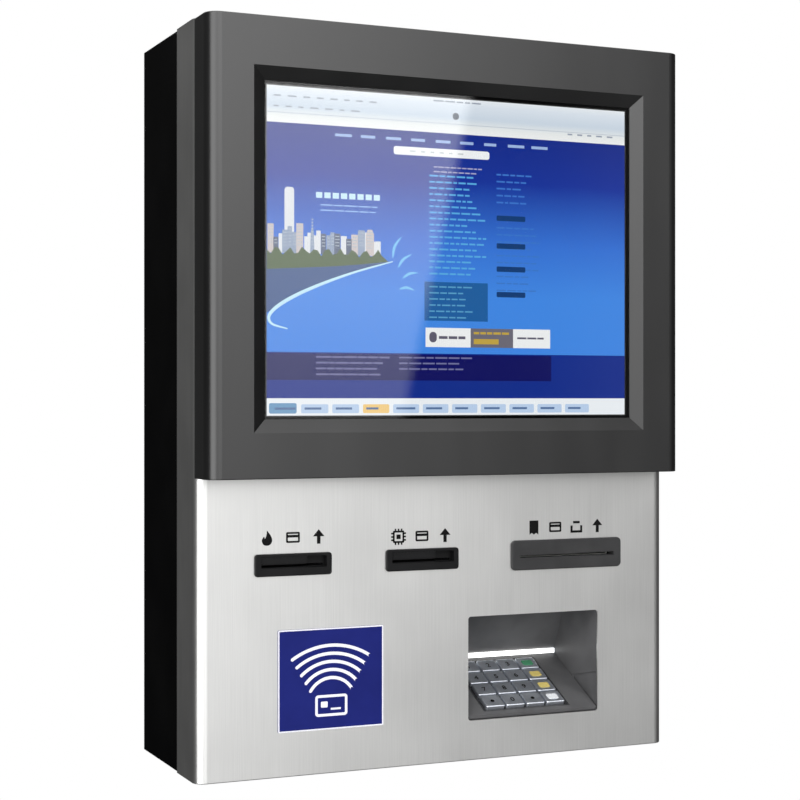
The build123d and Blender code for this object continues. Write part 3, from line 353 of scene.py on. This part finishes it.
def circuit_board(f):
    """Green solder mask over copper tracks, with tinned pads."""
    place = f.place()
    track = f.node(
        "ShaderNodeTexVoronoi", {"feature": "DISTANCE_TO_EDGE"}, {"Vector": place, "Scale": 260.0}
    )
    pad = f.node("ShaderNodeTexVoronoi", values={"Vector": place, "Scale": 420.0})
    mask = track.rise(0.02, 0.06)
    green = f.mix(mask, (0.012, 0.10, 0.045), (0.006, 0.05, 0.022))
    f.surface(
        Base_Color=f.mix(pad.below(0.16), green, (0.55, 0.54, 0.50)),
        Metallic=pad.below(0.16) * 0.9,
        Roughness=0.38 + 0.1 * mask,
        Normal=f.bump(mask, 0.3, 0.0001),
    )


def paper_white(f):
    """Wound thermal paper: white, with a fine fibre grain."""
    place = f.place()
    fibre = f.noise(place, 700.0, 4.0, 0.6)
    f.surface(
        Base_Color=f.mix(fibre.rise(0.3, 0.7), (0.78, 0.78, 0.75), (0.88, 0.88, 0.86)),
        Roughness=0.8,
        Normal=f.bump(fibre, 0.3, 0.0001),
    )


FINISHES = {
    "stainless": finish_of("satin_stainless", satin_steel),
    "hinge_steel": finish_of("plain_steel", plain_steel),
    "cabinet_black": finish_of("black_powder_coat", powder_coat),
    "frame_black": finish_of("black_frame_lacquer", frame_lacquer),
    "glass": finish_of("clear_glass", clear_glass),
    "screen": finish_of("panel_rim", moulded_plastic, (0.008, 0.008, 0.009), 0.5, 1500.0),
    "bezel_black": finish_of("bezel_plastic", moulded_plastic, (0.008, 0.008, 0.0085), 0.45, 1700.0, 0.12),
    "sign_blue": finish_of("blue_sign_film", sign_film),
    "recess_grey": finish_of("grey_moulding", moulded_plastic, (0.092, 0.092, 0.095), 0.50, 1500.0, 0.3),
    "light_bar": finish_of("opal_light", light_diffuser),
    "keypad_black": finish_of("keypad_body_black", moulded_plastic, (0.018, 0.018, 0.020), 0.5, 1500.0),
    "key_metal": finish_of("satin_key_metal", brushed_metal, (0.84, 0.88, 0.95), (700.0, 60.0, 700.0), 0.44,
                           0.00004),
    "screw_steel": finish_of("zinc_screws", brushed_metal, (0.62, 0.62, 0.60), (400.0, 400.0, 400.0), 0.28,
                             0.00003),
    "lock_chrome": finish_of("plated_lock", brushed_metal, (0.70, 0.70, 0.68), (300.0, 300.0, 300.0), 0.16,
                             0.00002),
    "bracket_zinc": finish_of("zinc_sheet", brushed_metal, (0.56, 0.56, 0.53), (120.0, 120.0, 120.0), 0.40,
                              0.00004),
    "seal_rubber": finish_of("black_rubber", rubber),
    "inlet_black": finish_of("inlet_plastic", moulded_plastic, (0.012, 0.012, 0.012), 0.4, 1300.0),
    "rocker_red": finish_of("red_rocker", moulded_plastic, (0.38, 0.012, 0.010), 0.3, 1200.0),
    "case_aluminium": finish_of("case_aluminium", brushed_metal, (0.44, 0.45, 0.46), (50.0, 900.0, 900.0),
                                0.38, 0.00004),
    "fan_plastic": finish_of("fan_plastic", moulded_plastic, (0.014, 0.014, 0.015), 0.42, 1400.0),
    "board_green": finish_of("circuit_board", circuit_board),
    "reader_dark": finish_of("module_plastic", moulded_plastic, (0.030, 0.031, 0.033), 0.46, 1400.0),
    "print_head_metal": finish_of("heat_sink", brushed_metal, (0.42, 0.42, 0.43), (900.0, 900.0, 50.0), 0.36,
                                  0.00004),
    "platen_rubber": finish_of("platen_rubber", rubber),
    "shaft_steel": finish_of("ground_shaft", brushed_metal, (0.60, 0.60, 0.60), (1200.0, 60.0, 60.0), 0.22,
                             0.00002),
    "paper": finish_of("thermal_paper", paper_white),
}
RECEIPT_GREY = finish_of("receipt_bezel_plastic", moulded_plastic, (0.032, 0.032, 0.033), 0.48, 1700.0, 0.2)
INK_BLACK = finish_of("black_ink", printed, (0.004, 0.004, 0.004))
INK_WHITE = finish_of("white_ink", printed, (0.80, 0.80, 0.88))
OWN_FINISH = {"receipt_bezel": RECEIPT_GREY}

for part in frame["record"]["subparts"]:
    node = frame["nodes"][part["node"]]
    node.data.materials.clear()
    node.data.materials.append(OWN_FINISH.get(part["node"], FINISHES[part["material_slot"]]))


# ---- flat pieces
def piece(name, mesh_maker, material, body="door"):
    """Makes a mesh object from a function that fills a bmesh."""
    mesh = bpy.data.meshes.new(name)
    made = bmesh.new()
    mesh_maker(made)
    bmesh.ops.remove_doubles(made, verts=made.verts, dist=1e-7)
    bmesh.ops.recalc_face_normals(made, faces=made.faces)
    made.to_mesh(mesh)
    made.free()
    mesh.materials.append(material)
    obj = bpy.data.objects.new(name, mesh)
    bpy.context.scene.collection.objects.link(obj)
    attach(obj, body)
    return obj


def slab(made, outline, back, front, place=Matrix.Identity(4)):
    """Prism of an (x, z) outline between two depths along Y, then moved by place."""
    lower = [made.verts.new(place @ Vector((x, back, z))) for x, z in outline]
    upper = [made.verts.new(place @ Vector((x, front, z))) for x, z in outline]
    made.faces.new(lower)
    made.faces.new(upper[::-1])
    for i in range(len(outline)):
        j = (i + 1) % len(outline)
        made.faces.new((lower[i], lower[j], upper[j], upper[i]))


def oblong(x, z, width, height, round_r=0.0, steps=5):
    """Outline of a rectangle about (x, z), its corners rounded."""
    if not round_r:
        return [(x + sx * width / 2, z + sz * height / 2) for sx, sz in ((-1, -1), (1, -1), (1, 1), (-1, 1))]
    points = []
    for i, (sx, sz) in enumerate(((1, 1), (-1, 1), (-1, -1), (1, -1))):
        cx, cz = x + sx * (width / 2 - round_r), z + sz * (height / 2 - round_r)
        for k in range(steps + 1):
            turn = math.pi / 2 * (i + k / steps)
            points.append((cx + round_r * math.cos(turn), cz + round_r * math.sin(turn)))
    return points


def ring(made, outer, inner, back, front):
    """Flat frame between two outlines that have as many points as each other."""
    loops = [
        [made.verts.new((x, y, z)) for x, z in outline] for outline in (outer, inner) for y in (back, front)
    ]
    outer_back, outer_front, inner_back, inner_front = loops
    for a, b in ((outer_back, outer_front), (outer_front, inner_front), (inner_front, inner_back),
                 (inner_back, outer_back)):
        for i in range(len(a)):
            j = (i + 1) % len(a)
            made.faces.new((a[i], a[j], b[j], b[i]))


def arc_band(x, z, radius, half_angle, width, steps=28):
    """Outline of a round-ended arc about straight up."""
    points = []
    for side, sweep in ((1, 1), (-1, -1)):
        r = radius + side * width / 2
        for k in range(steps + 1):
            turn = sweep * half_angle * (1 - 2 * k / steps)
            points.append((x + r * math.sin(turn), z + r * math.cos(turn)))
        tip = -sweep * half_angle
        tx, tz = x + radius * math.sin(tip), z + radius * math.cos(tip)
        for k in range(1, 6):
            turn = tip - sweep * math.pi * k / 6
            points.append((tx + side * width / 2 * math.sin(turn), tz + side * width / 2 * math.cos(turn)))
    return points


# ---- picture on the screen, in millimetres across and down from the lit area's top left
LAYER = 0.05 * MM
LAYER_FILL = 0.8                           # share of a layer's thickness that a piece fills
SCREEN_Y = panel_low.y


def on_screen(across, down):
    return LIT_LEFT + across * MM, LIT_TOP - down * MM


def screen_piece(name, outlines, colour, level, strength=1.0, material=None):
    """Lit shapes at one level above the panel. outlines are lists of (across, down)."""
    front = SCREEN_Y - level * LAYER
    lit = material or finish_of(name, glowing, colour, strength)

    def fill(made):
        for outline in outlines:
            slab(made, [on_screen(a, d) for a, d in outline], front + LAYER_FILL * LAYER, front)

    return piece(name, fill, lit)


def area(left, top, right, bottom):
    return [(left, top), (right, top), (right, bottom), (left, bottom)]


def pill(left, top, right, bottom, radius):
    middle = ((left + right) / 2, (top + bottom) / 2)
    return oblong(*middle, right - left, bottom - top, radius)


def text_rows(rng, left, right, top, pitch, rows, height, words=(3.0, 9.0), gap=1.4):
    """Greeked text: dashes of uneven length in rows."""
    marks = []
    for row in range(rows):
        across, down = left, top + row * pitch
        end = right - rng.uniform(0, 0.35) * (right - left)
        while across < end:
            length = min(rng.uniform(*words), right - across)
            marks.append(area(across, down, across + length, down + height))
            across += length + gap
    return marks


wide, tall = LIT_W / MM, LIT_H / MM
HEADER = 30.0
PAGE_FOOT = 218.0
BAR_TOP = 256.0
rng = random.Random(11)

page = finish_of("page_sky", page_sky)
screen_piece("screen_page", [area(0, HEADER, wide, PAGE_FOOT)], None, 1, material=page)
tool_rows = finish_of("header_rows", header_tint)
screen_piece("screen_header", [area(0, 0, wide, HEADER)], None, 1, material=tool_rows)
screen_piece("screen_footer", [area(0, PAGE_FOOT, wide, BAR_TOP)], (0.0015, 0.024, 0.27), 1)
screen_piece("screen_footer_note", [area(0, PAGE_FOOT + 1, wide * 0.78, 241)], (0.001, 0.0015, 0.115), 2)
screen_piece("screen_bar", [area(0, BAR_TOP, wide, tall)], (0.90, 0.93, 0.97), 1)

header_marks = text_rows(rng, 6, 110, 7.5, 8.6, 2, 1.1, (4.0, 8.0), 6.0)
header_marks += text_rows(rng, 150, 210, 2.2, 5.0, 1, 1.2, (5.0, 12.0), 1.5)
header_marks += text_rows(rng, 280, 330, 23.0, 5.0, 1, 1.4, (4.0, 8.0), 5.0)
screen_piece("screen_header_marks", header_marks, (0.34, 0.38, 0.46), 2)
screen_piece("screen_header_line", [area(0, 21.5, wide, 22.1)], (0.55, 0.60, 0.68), 2)
screen_piece("screen_round_button", [pill(168, 12, 174, 18, 2.99)], (0.10, 0.12, 0.16), 2)

menu = [area(60 + 23 * i, 36.2, 60 + 23 * i + rng.uniform(10, 16), 38.6) for i in range(9)]
screen_piece("screen_menu", menu, (0.36, 0.50, 0.80), 2)
screen_piece("screen_search", [pill(113, 43.5, 203, 50.5, 2.0)], (0.94, 0.95, 0.97), 2)
screen_piece("screen_search_hint", text_rows(rng, 128, 196, 46.4, 4.0, 1, 1.2, (3.0, 6.0), 5.0),
             (0.60, 0.64, 0.66), 3)
screen_piece("screen_heading", [area(43 + 7.4 * i, 85.6, 48.6 + 7.4 * i, 90.4) for i in range(8)],
             (0.62, 0.84, 0.97), 2)
screen_piece("screen_subheading", text_rows(rng, 47, 101, 95.5, 4.4, 2, 1.0, (5.0, 12.0), 1.2),
             (0.34, 0.55, 0.88), 2)

# city by a river
SHORE = 137.0
WINDOW_PITCH, WINDOW_TALL = 2.6, 0.7
WINDOW_INSET = 0.8
LEAST_WINDOW = 0.8
tower_tones = {"pale": (0.78, 0.80, 0.84), "grey": (0.30, 0.37, 0.52), "warm": (0.62, 0.55, 0.55),
               "dark": (0.10, 0.13, 0.22)}
towers = {tone: [] for tone in tower_tones}
across = 0.6
while across < 99:
    breadth = rng.uniform(3.2, 6.6)
    height = rng.uniform(13, 27) * (1.0 - 0.25 * across / 99)
    tone = rng.choice(list(tower_tones))
    towers[tone].append(area(across, SHORE - height, across + breadth, SHORE))
    across += breadth * rng.uniform(0.85, 1.15)
towers["pale"].append([(15.4, SHORE), (15.4, 84.5), (17.0, 82.6), (22.4, 82.6), (23.8, 84.5), (23.8, SHORE)])
towers["grey"].append([(37.8, SHORE), (38.4, 118), (39.4, 116), (39.7, 106), (40.0, 116), (41.0, 118),
                       (41.6, SHORE)])
towers["warm"].append([(87.6, SHORE), (87.6, 119), (89.2, 115), (93.4, 115), (95.0, 119), (95.0, SHORE)])
for level, (tone, outlines) in enumerate(towers.items()):
    screen_piece(f"screen_towers_{tone}", outlines, tower_tones[tone], 2 + level)
window_rows = []
for outlines in (towers["grey"], towers["dark"], towers["warm"]):
    for outline in outlines:
        left, right = outline[0][0], outline[1][0] if len(outline) == 4 else outline[-1][0]
        top = min(down for _, down in outline) + 2
        for row in range(int((SHORE - 4 - top) / WINDOW_PITCH)):
            sill = top + WINDOW_PITCH * row
            window_rows.append(area(left + WINDOW_INSET, sill, right - WINDOW_INSET, sill + WINDOW_TALL))
wide_enough = [row for row in window_rows if row[1][0] - row[0][0] > LEAST_WINDOW]
screen_piece("screen_tower_windows", wide_enough, (0.46, 0.52, 0.60), 7)

bank = [(0, 151)] + [(3.4 * i, 134.0 + 3.0 * math.sin(i * 1.9) + rng.uniform(0, 1.6)) for i in range(31)]
bank += [(108, 141.5), (60, 147)]
screen_piece("screen_trees", [bank], (0.085, 0.13, 0.055), 8)
river = [(0, 150.6), (60, 146.6), (110, 141.6), (74, 152), (38, 165.5), (14, 177.5), (0, 186)]
screen_piece("screen_river", [river], (0.045, 0.10, 0.27), 9)


def tapering(points, widths):
    """Outline of a strip that follows points with these widths."""
    left, right = [], []
    for i, (point, width) in enumerate(zip(points, widths)):
        before = Vector(points[max(i - 1, 0)])
        after = Vector(points[min(i + 1, len(points) - 1)])
        way = (after - before).normalized()
        side = Vector((-way.y, way.x)) * width / 2
        left.append(tuple(Vector(point) + side))
        right.append(tuple(Vector(point) - side))
    return left + right[::-1]


def smooth_path(corners, steps):
    """Points on a Catmull-Rom curve through the corners."""
    ends = [corners[0]] + corners + [corners[-1]]
    path = []
    for p0, p1, p2, p3 in zip(ends, ends[1:], ends[2:], ends[3:]):
        for k in range(steps):
            t = k / steps
            path.append(tuple(
                0.5 * (2 * b + (c - a) * t + (2 * a - 5 * b + 4 * c - d) * t * t
                       + (3 * b - a - 3 * c + d) * t * t * t)
                for a, b, c, d in zip(p0, p1, p2, p3)
            ))
    return path + [corners[-1]]


ribbon = smooth_path(
    [(112, 141), (74, 152), (38, 165.5), (14, 177.5), (2.4, 187.5), (4.2, 195), (18, 199)], 8
)
ribbon_widths = [0.8 + 2.2 * math.sin(math.pi * i / (len(ribbon) - 1)) for i in range(len(ribbon))]
screen_piece("screen_ribbon", [tapering(ribbon, ribbon_widths)], (0.58, 0.84, 0.98), 10)
spray = []
SPRAY = ((112, 138, 20, -1.15), (117, 146, 17, -0.75), (121, 155, 15, -0.35), (118, 164, 14, 0.05))
SPRAY_WIDTHS = [0.4, 1.2, 1.8, 2.2, 2.4, 2.4, 2.2, 1.8, 1.4, 0.8, 0.3]
for a, d, length, lean in SPRAY:
    tip = (a + length * math.cos(lean), d + length * math.sin(lean))
    bend = (a + 0.5 * length * math.cos(lean - 0.25), d + 0.5 * length * math.sin(lean - 0.25))
    spray.append(tapering(smooth_path([(a, d), bend, tip], 5), SPRAY_WIDTHS))
screen_piece("screen_spray", spray, (0.20, 0.56, 0.92), 11)

# columns of text, the dark block and the coloured row
screen_piece("screen_column", text_rows(rng, 146, 200, 66, 5.2, 17, 1.5), (0.10, 0.42, 0.80), 2)
screen_piece("screen_block", [area(141.5, 157, 201.5, 190)], (0.012, 0.115, 0.36), 3)
screen_piece("screen_block_text", text_rows(rng, 146, 190, 160.5, 5.2, 6, 1.2), (0.10, 0.36, 0.62), 4)
side_rows = text_rows(rng, 210, 244, 62, 6.0, 5, 1.4) + text_rows(rng, 210, 252, 108, 6.0, 10, 1.2)
screen_piece("screen_side_rows", side_rows, (0.045, 0.19, 0.62), 2)
screen_piece("screen_side_tabs", [pill(210, top, 238, top + 4.6, 1.0) for top in (98, 122, 142, 164)],
             (0.004, 0.045, 0.18), 3)
note = text_rows(rng, 150, 200, 58.6, 4.0, 2, 1.1, (3.0, 6.0), 1.0)
screen_piece("screen_note", note, (0.42, 0.42, 0.60), 4)
BANNER_TOP, BANNER_FOOT = 196.0, 212.4
banner_ends = [area(142.5, BANNER_TOP, 185, BANNER_FOOT), area(226, BANNER_TOP, 262.5, BANNER_FOOT)]
screen_piece("screen_banner", banner_ends, (0.92, 0.93, 0.94), 4)
screen_piece("screen_banner_middle", [area(185, BANNER_TOP, 226, BANNER_FOOT)], (0.16, 0.15, 0.19), 4)
banner_gold = [area(188, 205, 212, 209.5)] + text_rows(rng, 188, 222, 199, 5, 1, 2.0, (5, 9), 1)
screen_piece("screen_banner_gold", banner_gold, (0.56, 0.38, 0.06), 5)
banner_marks = [pill(146, 199.5, 153, 208.5, 3.4)] + text_rows(rng, 155, 180, 203, 4, 1, 2.4, (8, 9), 1)
banner_marks += text_rows(rng, 230, 258, 203, 4, 1, 1.6, (6, 9), 1)
screen_piece("screen_banner_marks", banner_marks, (0.12, 0.11, 0.16), 5)
screen_piece("screen_footer_text", text_rows(rng, 43, 110, 221, 4.8, 4, 1.5, (5.0, 14.0), 1.0)
             + text_rows(rng, 118, 190, 221, 4.8, 3, 1.3, (5.0, 12.0), 1.4), (0.17, 0.17, 0.36), 3)
bar_items = [pill(30 + 27.5 * i, 261, 54 + 27.5 * i, 268.4, 1.2) for i in range(10)]
screen_piece("screen_bar_items", bar_items[:2] + bar_items[3:], (0.52, 0.66, 0.88), 2)
screen_piece("screen_bar_busy", [bar_items[2]], (0.93, 0.62, 0.22), 2)
screen_piece("screen_bar_start", [pill(2, 260, 26, 268.6, 1.6)], (0.16, 0.34, 0.56), 2)
screen_piece("screen_bar_text", [area(left + 3, 263.6, left + rng.uniform(12, 21), 265.4)
                                 for left in [30 + 27.5 * i for i in range(10)] + [4]], (0.10, 0.18, 0.36), 3)


# ---- contactless sign: white border, five arcs and a card
sign_x, sign_z = (sign_low.x + sign_high.x) / 2, (sign_low.z + sign_high.z) / 2
SIGN_Y = sign_low.y
BORDER = 1.1 * MM
ARCS = 5
ARC_RISE = 10.4 * MM
ARC_WIDTH = 2.7 * MM
HALF_CHORD = (35.0, 16.3)                  # outermost arc's, and how much shorter the innermost's is
CROWN = (28.0, 27.2)                       # outermost arc's top above the middle, and how far they step down
CARD_DROP = 22.5 * MM


def sign_print(made):
    width, height = sign_high.x - sign_low.x, sign_high.z - sign_low.z
    back, front = SIGN_Y + PRINT_T, SIGN_Y - PRINT_T
    outer = oblong(sign_x, sign_z, width - 0.1 * MM, height - 0.1 * MM, 1.0 * MM)
    inner = oblong(sign_x, sign_z, width - 2 * BORDER, height - 2 * BORDER, 0.4 * MM)
    ring(made, outer, inner, back, front)
    for i in range(ARCS):
        share = i / (ARCS - 1)
        half_chord = (HALF_CHORD[0] - HALF_CHORD[1] * share) * MM
        crown = (CROWN[0] - CROWN[1] * share) * MM
        radius = (half_chord**2 + ARC_RISE**2) / (2 * ARC_RISE)
        band = arc_band(sign_x, sign_z + crown - radius, radius, math.asin(half_chord / radius), ARC_WIDTH)
        slab(made, band, back, front)
    card_z = sign_z - CARD_DROP
    outer = oblong(sign_x, card_z, 29 * MM, 18 * MM, 2.6 * MM)
    inner = oblong(sign_x, card_z, 24.6 * MM, 13.6 * MM, 0.9 * MM)
    ring(made, outer, inner, back, front)
    slab(made, oblong(sign_x - 6.4 * MM, card_z + 1.0 * MM, 6.0 * MM, 5.0 * MM, 0.8 * MM), back, front)
    slab(made, oblong(sign_x + 4.0 * MM, card_z - 3.0 * MM, 9.0 * MM, 1.6 * MM), back, front)


piece("sign_print", sign_print, INK_WHITE)


# ---- pictograms over the slots
ICON = 12.2 * MM
UNIT = ICON / 9.4                          # millimetre of the outlines below, at this size


def card_icon(made, x, z, back, front):
    outer = oblong(x, z, ICON, ICON * 0.74, 1.2 * MM)
    inner = oblong(x, z, ICON * 0.74, ICON * 0.48, 0.4 * MM)
    ring(made, outer, inner, back, front)
    slab(made, oblong(x, z + 0.8 * UNIT, ICON * 0.80, 1.7 * UNIT), back, front)


def flame_icon(made, x, z, back, front):
    corners = [(0.0, 5.0), (2.6, 1.6), (3.6, -1.4), (2.4, -4.0), (0.0, -4.8), (-2.4, -4.0), (-3.4, -1.2)]
    corners += [(-1.9, 1.0), (-1.3, -0.4), (-0.2, 2.2), (0.0, 5.0)]
    outline = smooth_path(corners, 4)[:-1]
    slab(made, [(x + a * UNIT, z + b * UNIT) for a, b in outline], back, front)


def chip_icon(made, x, z, back, front):
    outer = oblong(x, z, ICON * 0.86, ICON * 0.86, 1.0 * MM)
    inner = oblong(x, z, ICON * 0.60, ICON * 0.60, 0.4 * MM)
    ring(made, outer, inner, back, front)
    for side in (-1, 1):
        for row in (-2.2, 0, 2.2):
            slab(made, oblong(x + side * ICON * 0.47, z + row * UNIT, 1.8 * UNIT, 1.1 * UNIT), back, front)
            slab(made, oblong(x + row * UNIT, z + side * ICON * 0.47, 1.1 * UNIT, 1.8 * UNIT), back, front)
    slab(made, oblong(x, z, 3.0 * UNIT, 3.0 * UNIT), back, front)


def arrow_icon(made, x, z, back, front):
    outline = [(-1.2, -4.6), (1.2, -4.6), (1.2, 0.2), (4.0, 0.2), (0.0, 4.7), (-4.0, 0.2), (-1.2, 0.2)]
    slab(made, [(x + a * UNIT, z + b * UNIT) for a, b in outline], back, front)


def receipt_icon(made, x, z, back, front):
    teeth = [(-3.4 + 1.7 * i, -4.8 + (1.2 if i % 2 else 0.0)) for i in range(5)]
    outline = teeth + [(3.4, 4.8), (-3.4, 4.8)]
    slab(made, [(x + a * UNIT, z + b * UNIT) for a, b in outline], back, front)


def tray_icon(made, x, z, back, front):
    outline = [(-4.6, -4.4), (4.6, -4.4), (4.6, 0.6), (3.0, 0.6)]
    outline += [(3.0, -2.8), (-3.0, -2.8), (-3.0, 0.6), (-4.6, 0.6)]
    slab(made, [(x + a * UNIT, z + b * UNIT) for a, b in outline], back, front)
    slab(made, oblong(x, z + 2.8 * UNIT, 5.2 * UNIT, 1.6 * UNIT), back, front)


LABELS = {
    "gas_card_bezel": (22.5, 23.0, (flame_icon, card_icon, arrow_icon)),
    "bank_card_bezel": (20.0, 22.0, (chip_icon, card_icon, arrow_icon)),
    "receipt_bezel": (24.0, 21.5, (receipt_icon, card_icon, tray_icon, arrow_icon)),
}
for bezel, (lift, pitch, icons) in LABELS.items():
    low, high = bezel_boxes[bezel]
    middle = (low.x + high.x) / 2

    def label(made):
        for i, icon in enumerate(icons):
            x = middle + (i - (len(icons) - 1) / 2) * pitch * MM
            icon(made, x, SLOT_Z + lift * MM, FACE_Y + PRINT_T, FACE_Y - PRINT_T)

    piece(bezel.replace("bezel", "label"), label, INK_BLACK)


# ---- key legends
plate_way = Vector(next(j for j in frame["joints"] if j["name"] == "key_11_press")["axis"])
UP_SLOPE = Vector((0, -plate_way.z, plate_way.y))
KEY_FACE = Matrix((Vector((1, 0, 0)), UP_SLOPE, -plate_way)).transposed()
LEGEND_SUNK = 0.17 * MM                   # legends lie this far under the rim of the key's dish
LEGENDS = (
    ("1", "2", "3", "green"),
    ("4", "5", "6", "yellow"),
    ("7", "8", "9", "yellow"),
    ("dot", "0", "dot", "white"),
)
NUMERAL = 8.0 * MM                         # size of a numeral's type
NUMERAL_T = 0.09 * MM                      # half its thickness
INLAY = (10.5 * MM, 7.6 * MM, 1.6 * MM)    # coloured inlay: width, height, corner
DOT = (3.6 * MM, 3.6 * MM, 1.79 * MM)
MARK_DEPTHS = (0.10 * MM, -0.12 * MM)      # back and front of an inlay or dot
key_inks = {
    "green": finish_of("green_inlay", printed, (0.08, 0.30, 0.16)),
    "yellow": finish_of("yellow_inlay", printed, (0.62, 0.50, 0.16)),
    "white": finish_of("white_inlay", printed, (0.72, 0.74, 0.76)),
}


def key_top(node):
    """Middle of a key's top face, from its own mesh."""
    corners = [v.co for v in frame["nodes"][node].data.vertices]
    top = max(-plate_way.dot(c) for c in corners)
    rim = [c for c in corners if -plate_way.dot(c) > top - 0.3 * MM]
    low = Vector([min(c[i] for c in rim) for i in range(3)])
    high = Vector([max(c[i] for c in rim) for i in range(3)])
    middle = (low + high) / 2
    return middle - plate_way * (top + plate_way.dot(middle))


def number_outline(digit, size):
    """Flat mesh of a numeral about the origin, in the XY plane."""
    curve = bpy.data.curves.new("numeral", "FONT")
    curve.body = digit
    curve.size = size
    curve.align_x = "CENTER"
    curve.align_y = "CENTER"
    curve.extrude = NUMERAL_T
    curve.resolution_u = 3
    shown = bpy.data.objects.new("numeral", curve)
    bpy.context.scene.collection.objects.link(shown)
    bpy.context.view_layer.update()
    flat = bpy.data.meshes.new_from_object(shown.evaluated_get(bpy.context.evaluated_depsgraph_get()))
    bpy.data.objects.remove(shown)
    return flat


for row, names in enumerate(LEGENDS, 1):
    for column, legend in enumerate(names, 1):
        node = f"key_{row}{column}"
        centre = key_top(node) + plate_way * LEGEND_SUNK
        stand = Matrix.Translation(centre) @ KEY_FACE.to_4x4()
        if legend.isdigit():
            ink = INK_BLACK
            numeral = number_outline(legend, NUMERAL)

            def mark(made):
                made.from_mesh(numeral)
                bmesh.ops.transform(made, matrix=stand, verts=made.verts)
        else:
            ink = key_inks.get(legend, INK_BLACK)
            size = INLAY if legend in key_inks else DOT

            def mark(made):
                turned = stand @ Matrix.Rotation(math.pi / 2, 4, "X")
                slab(made, oblong(0, 0, *size), *MARK_DEPTHS, turned)

        piece(f"{node}_legend", mark, ink, body=node)


# ---- studio
FLOOR_DROP = 0.70                          # from the door's foot to the floor
FLOOR_R = 2.2
FLOOR_FADE = (1.3, 2.1)                    # where it starts to fade, and is gone


def disc(made, radius, z):
    ring_points = [made.verts.new((radius * math.cos(t), radius * math.sin(t), z))
                   for t in (2 * math.pi * k / 96 for k in range(96))]
    made.faces.new(ring_points)


def pale_floor(f):
    """Pale floor that fades out at its edge."""
    x, y, _ = f.parts(f.place())
    away = (x * x + y * y).math("SQRT", x * x + y * y)
    f.surface(Base_Color=(0.82, 0.82, 0.82, 1.0), Roughness=0.7, Alpha=1 - away.rise(*FLOOR_FADE))


floor_mesh = bpy.data.meshes.new("floor")
floor_made = bmesh.new()
disc(floor_made, FLOOR_R, door_low.z - FLOOR_DROP)
floor_made.to_mesh(floor_mesh)
floor_made.free()
floor_mesh.materials.append(finish_of("pale_floor", pale_floor))
floor = bpy.data.objects.new("floor", floor_mesh)
bpy.context.scene.collection.objects.link(floor)
floor.visible_diffuse = False
floor.visible_glossy = False


def soft_panel(f, direction, middle, across, up, edges, soft, lean=0.0):
    """Share of light from a far flat panel that faces the object. across and up are its axes; edges are its
    left, right, low and high sides in tangents; lean slants its right side."""
    def along(way):
        return f.node("ShaderNodeVectorMath", {"operation": "DOT_PRODUCT"}, {0: direction, 1: way}, output=1)

    depth = along(middle)
    safe = depth.math("MAXIMUM", depth, 0.05)
    x, y = along(across) / safe, along(up) / safe
    left, right, low, high = edges
    sides = x.rise(left - soft, left + soft) * (1 - (x - lean * y).rise(right - soft, right + soft))
    ends = y.rise(low - soft, low + soft) * (1 - y.rise(high - soft, high + soft))
    return sides * ends * depth.above(0.05), y


def bearing(degrees, lift=0.0):
    """Direction at this angle from straight in front of the door (+ towards +X), lifted by an angle."""
    a, e = math.radians(degrees), math.radians(lift)
    return Vector((math.sin(a) * math.cos(e), -math.cos(a) * math.cos(e), math.sin(e)))


def panel_axes(degrees, lift=0.0):
    middle = bearing(degrees, lift)
    across = bearing(degrees + 90)
    return middle, across, across.cross(middle).normalized() * -1


def studio_light(f):
    """White sky for the camera; for everything else a dark room with soft lights."""
    direction = f.node("ShaderNodeTexCoord", output=0)
    _, _, height = f.parts(direction)
    ahead = (bearing(0), Vector((1, 0, 0)), Vector((0, 0, 1)))
    key, key_y = soft_panel(f, direction, *ahead, (-0.55, 0.4452, -0.60, 1.2), 0.006, 0.2316)
    flank, _ = soft_panel(f, direction, *ahead, (-0.20, 0.325, -0.60, 0.9), 0.03)
    far, _ = soft_panel(f, direction, *panel_axes(44, 0), (-0.22, 0.20, -0.7, 0.7), 0.08)
    strip, _ = soft_panel(f, direction, *panel_axes(-47, 5), (-0.50, 0.30, -0.9, 0.9), 0.06)
    top, _ = soft_panel(f, direction, *panel_axes(10, 76), (-0.7, 0.7, -0.30, 0.5), 0.08)
    rear, _ = soft_panel(f, direction, *panel_axes(165, 48), (-0.9, 0.9, -0.35, 0.6), 0.15)
    light = 0.05 + 0.06 * height.rise(-0.2, 0.8)
    light = light + key * (0.86 + 1.9 * key_y.rise(-0.05, 0.26)) + flank * 0.45 + far * 0.28
    light = light + strip * 3.0 + top * 1.9 + rear * 1.25
    seen = f.node("ShaderNodeLightPath", output=0)
    strength = light * (1 - seen) + 1.0 * seen
    shade = f.node("ShaderNodeBackground", values={"Color": (1.0, 1.0, 1.0, 1.0), "Strength": strength})
    f.node("ShaderNodeOutputWorld", values={"Surface": shade})


world = bpy.data.worlds.new("studio")
world.use_nodes = True
studio_light(Finish(world.node_tree))
bpy.context.scene.world = world
bpy.context.scene.view_settings.view_transform = "Standard"

# ---- camera, level, in front of the door and to its left
CAMERA_BACK = 1.3767                      # from the door's face
CAMERA_LEFT = 0.6484
CAMERA_UP = 0.0010
CAMERA_YAW = -23.813
LENS = 79.09
camera_data = bpy.data.cameras.new("camera")
camera_data.lens = LENS
camera_data.sensor_width = 36.0
camera = bpy.data.objects.new("camera", camera_data)
camera.location = (-CAMERA_LEFT, FACE_Y - CAMERA_BACK, CAMERA_UP)
camera.rotation_euler = (math.pi / 2, 0.0, math.radians(CAMERA_YAW))
bpy.context.scene.collection.objects.link(camera)
bpy.context.scene.camera = camera
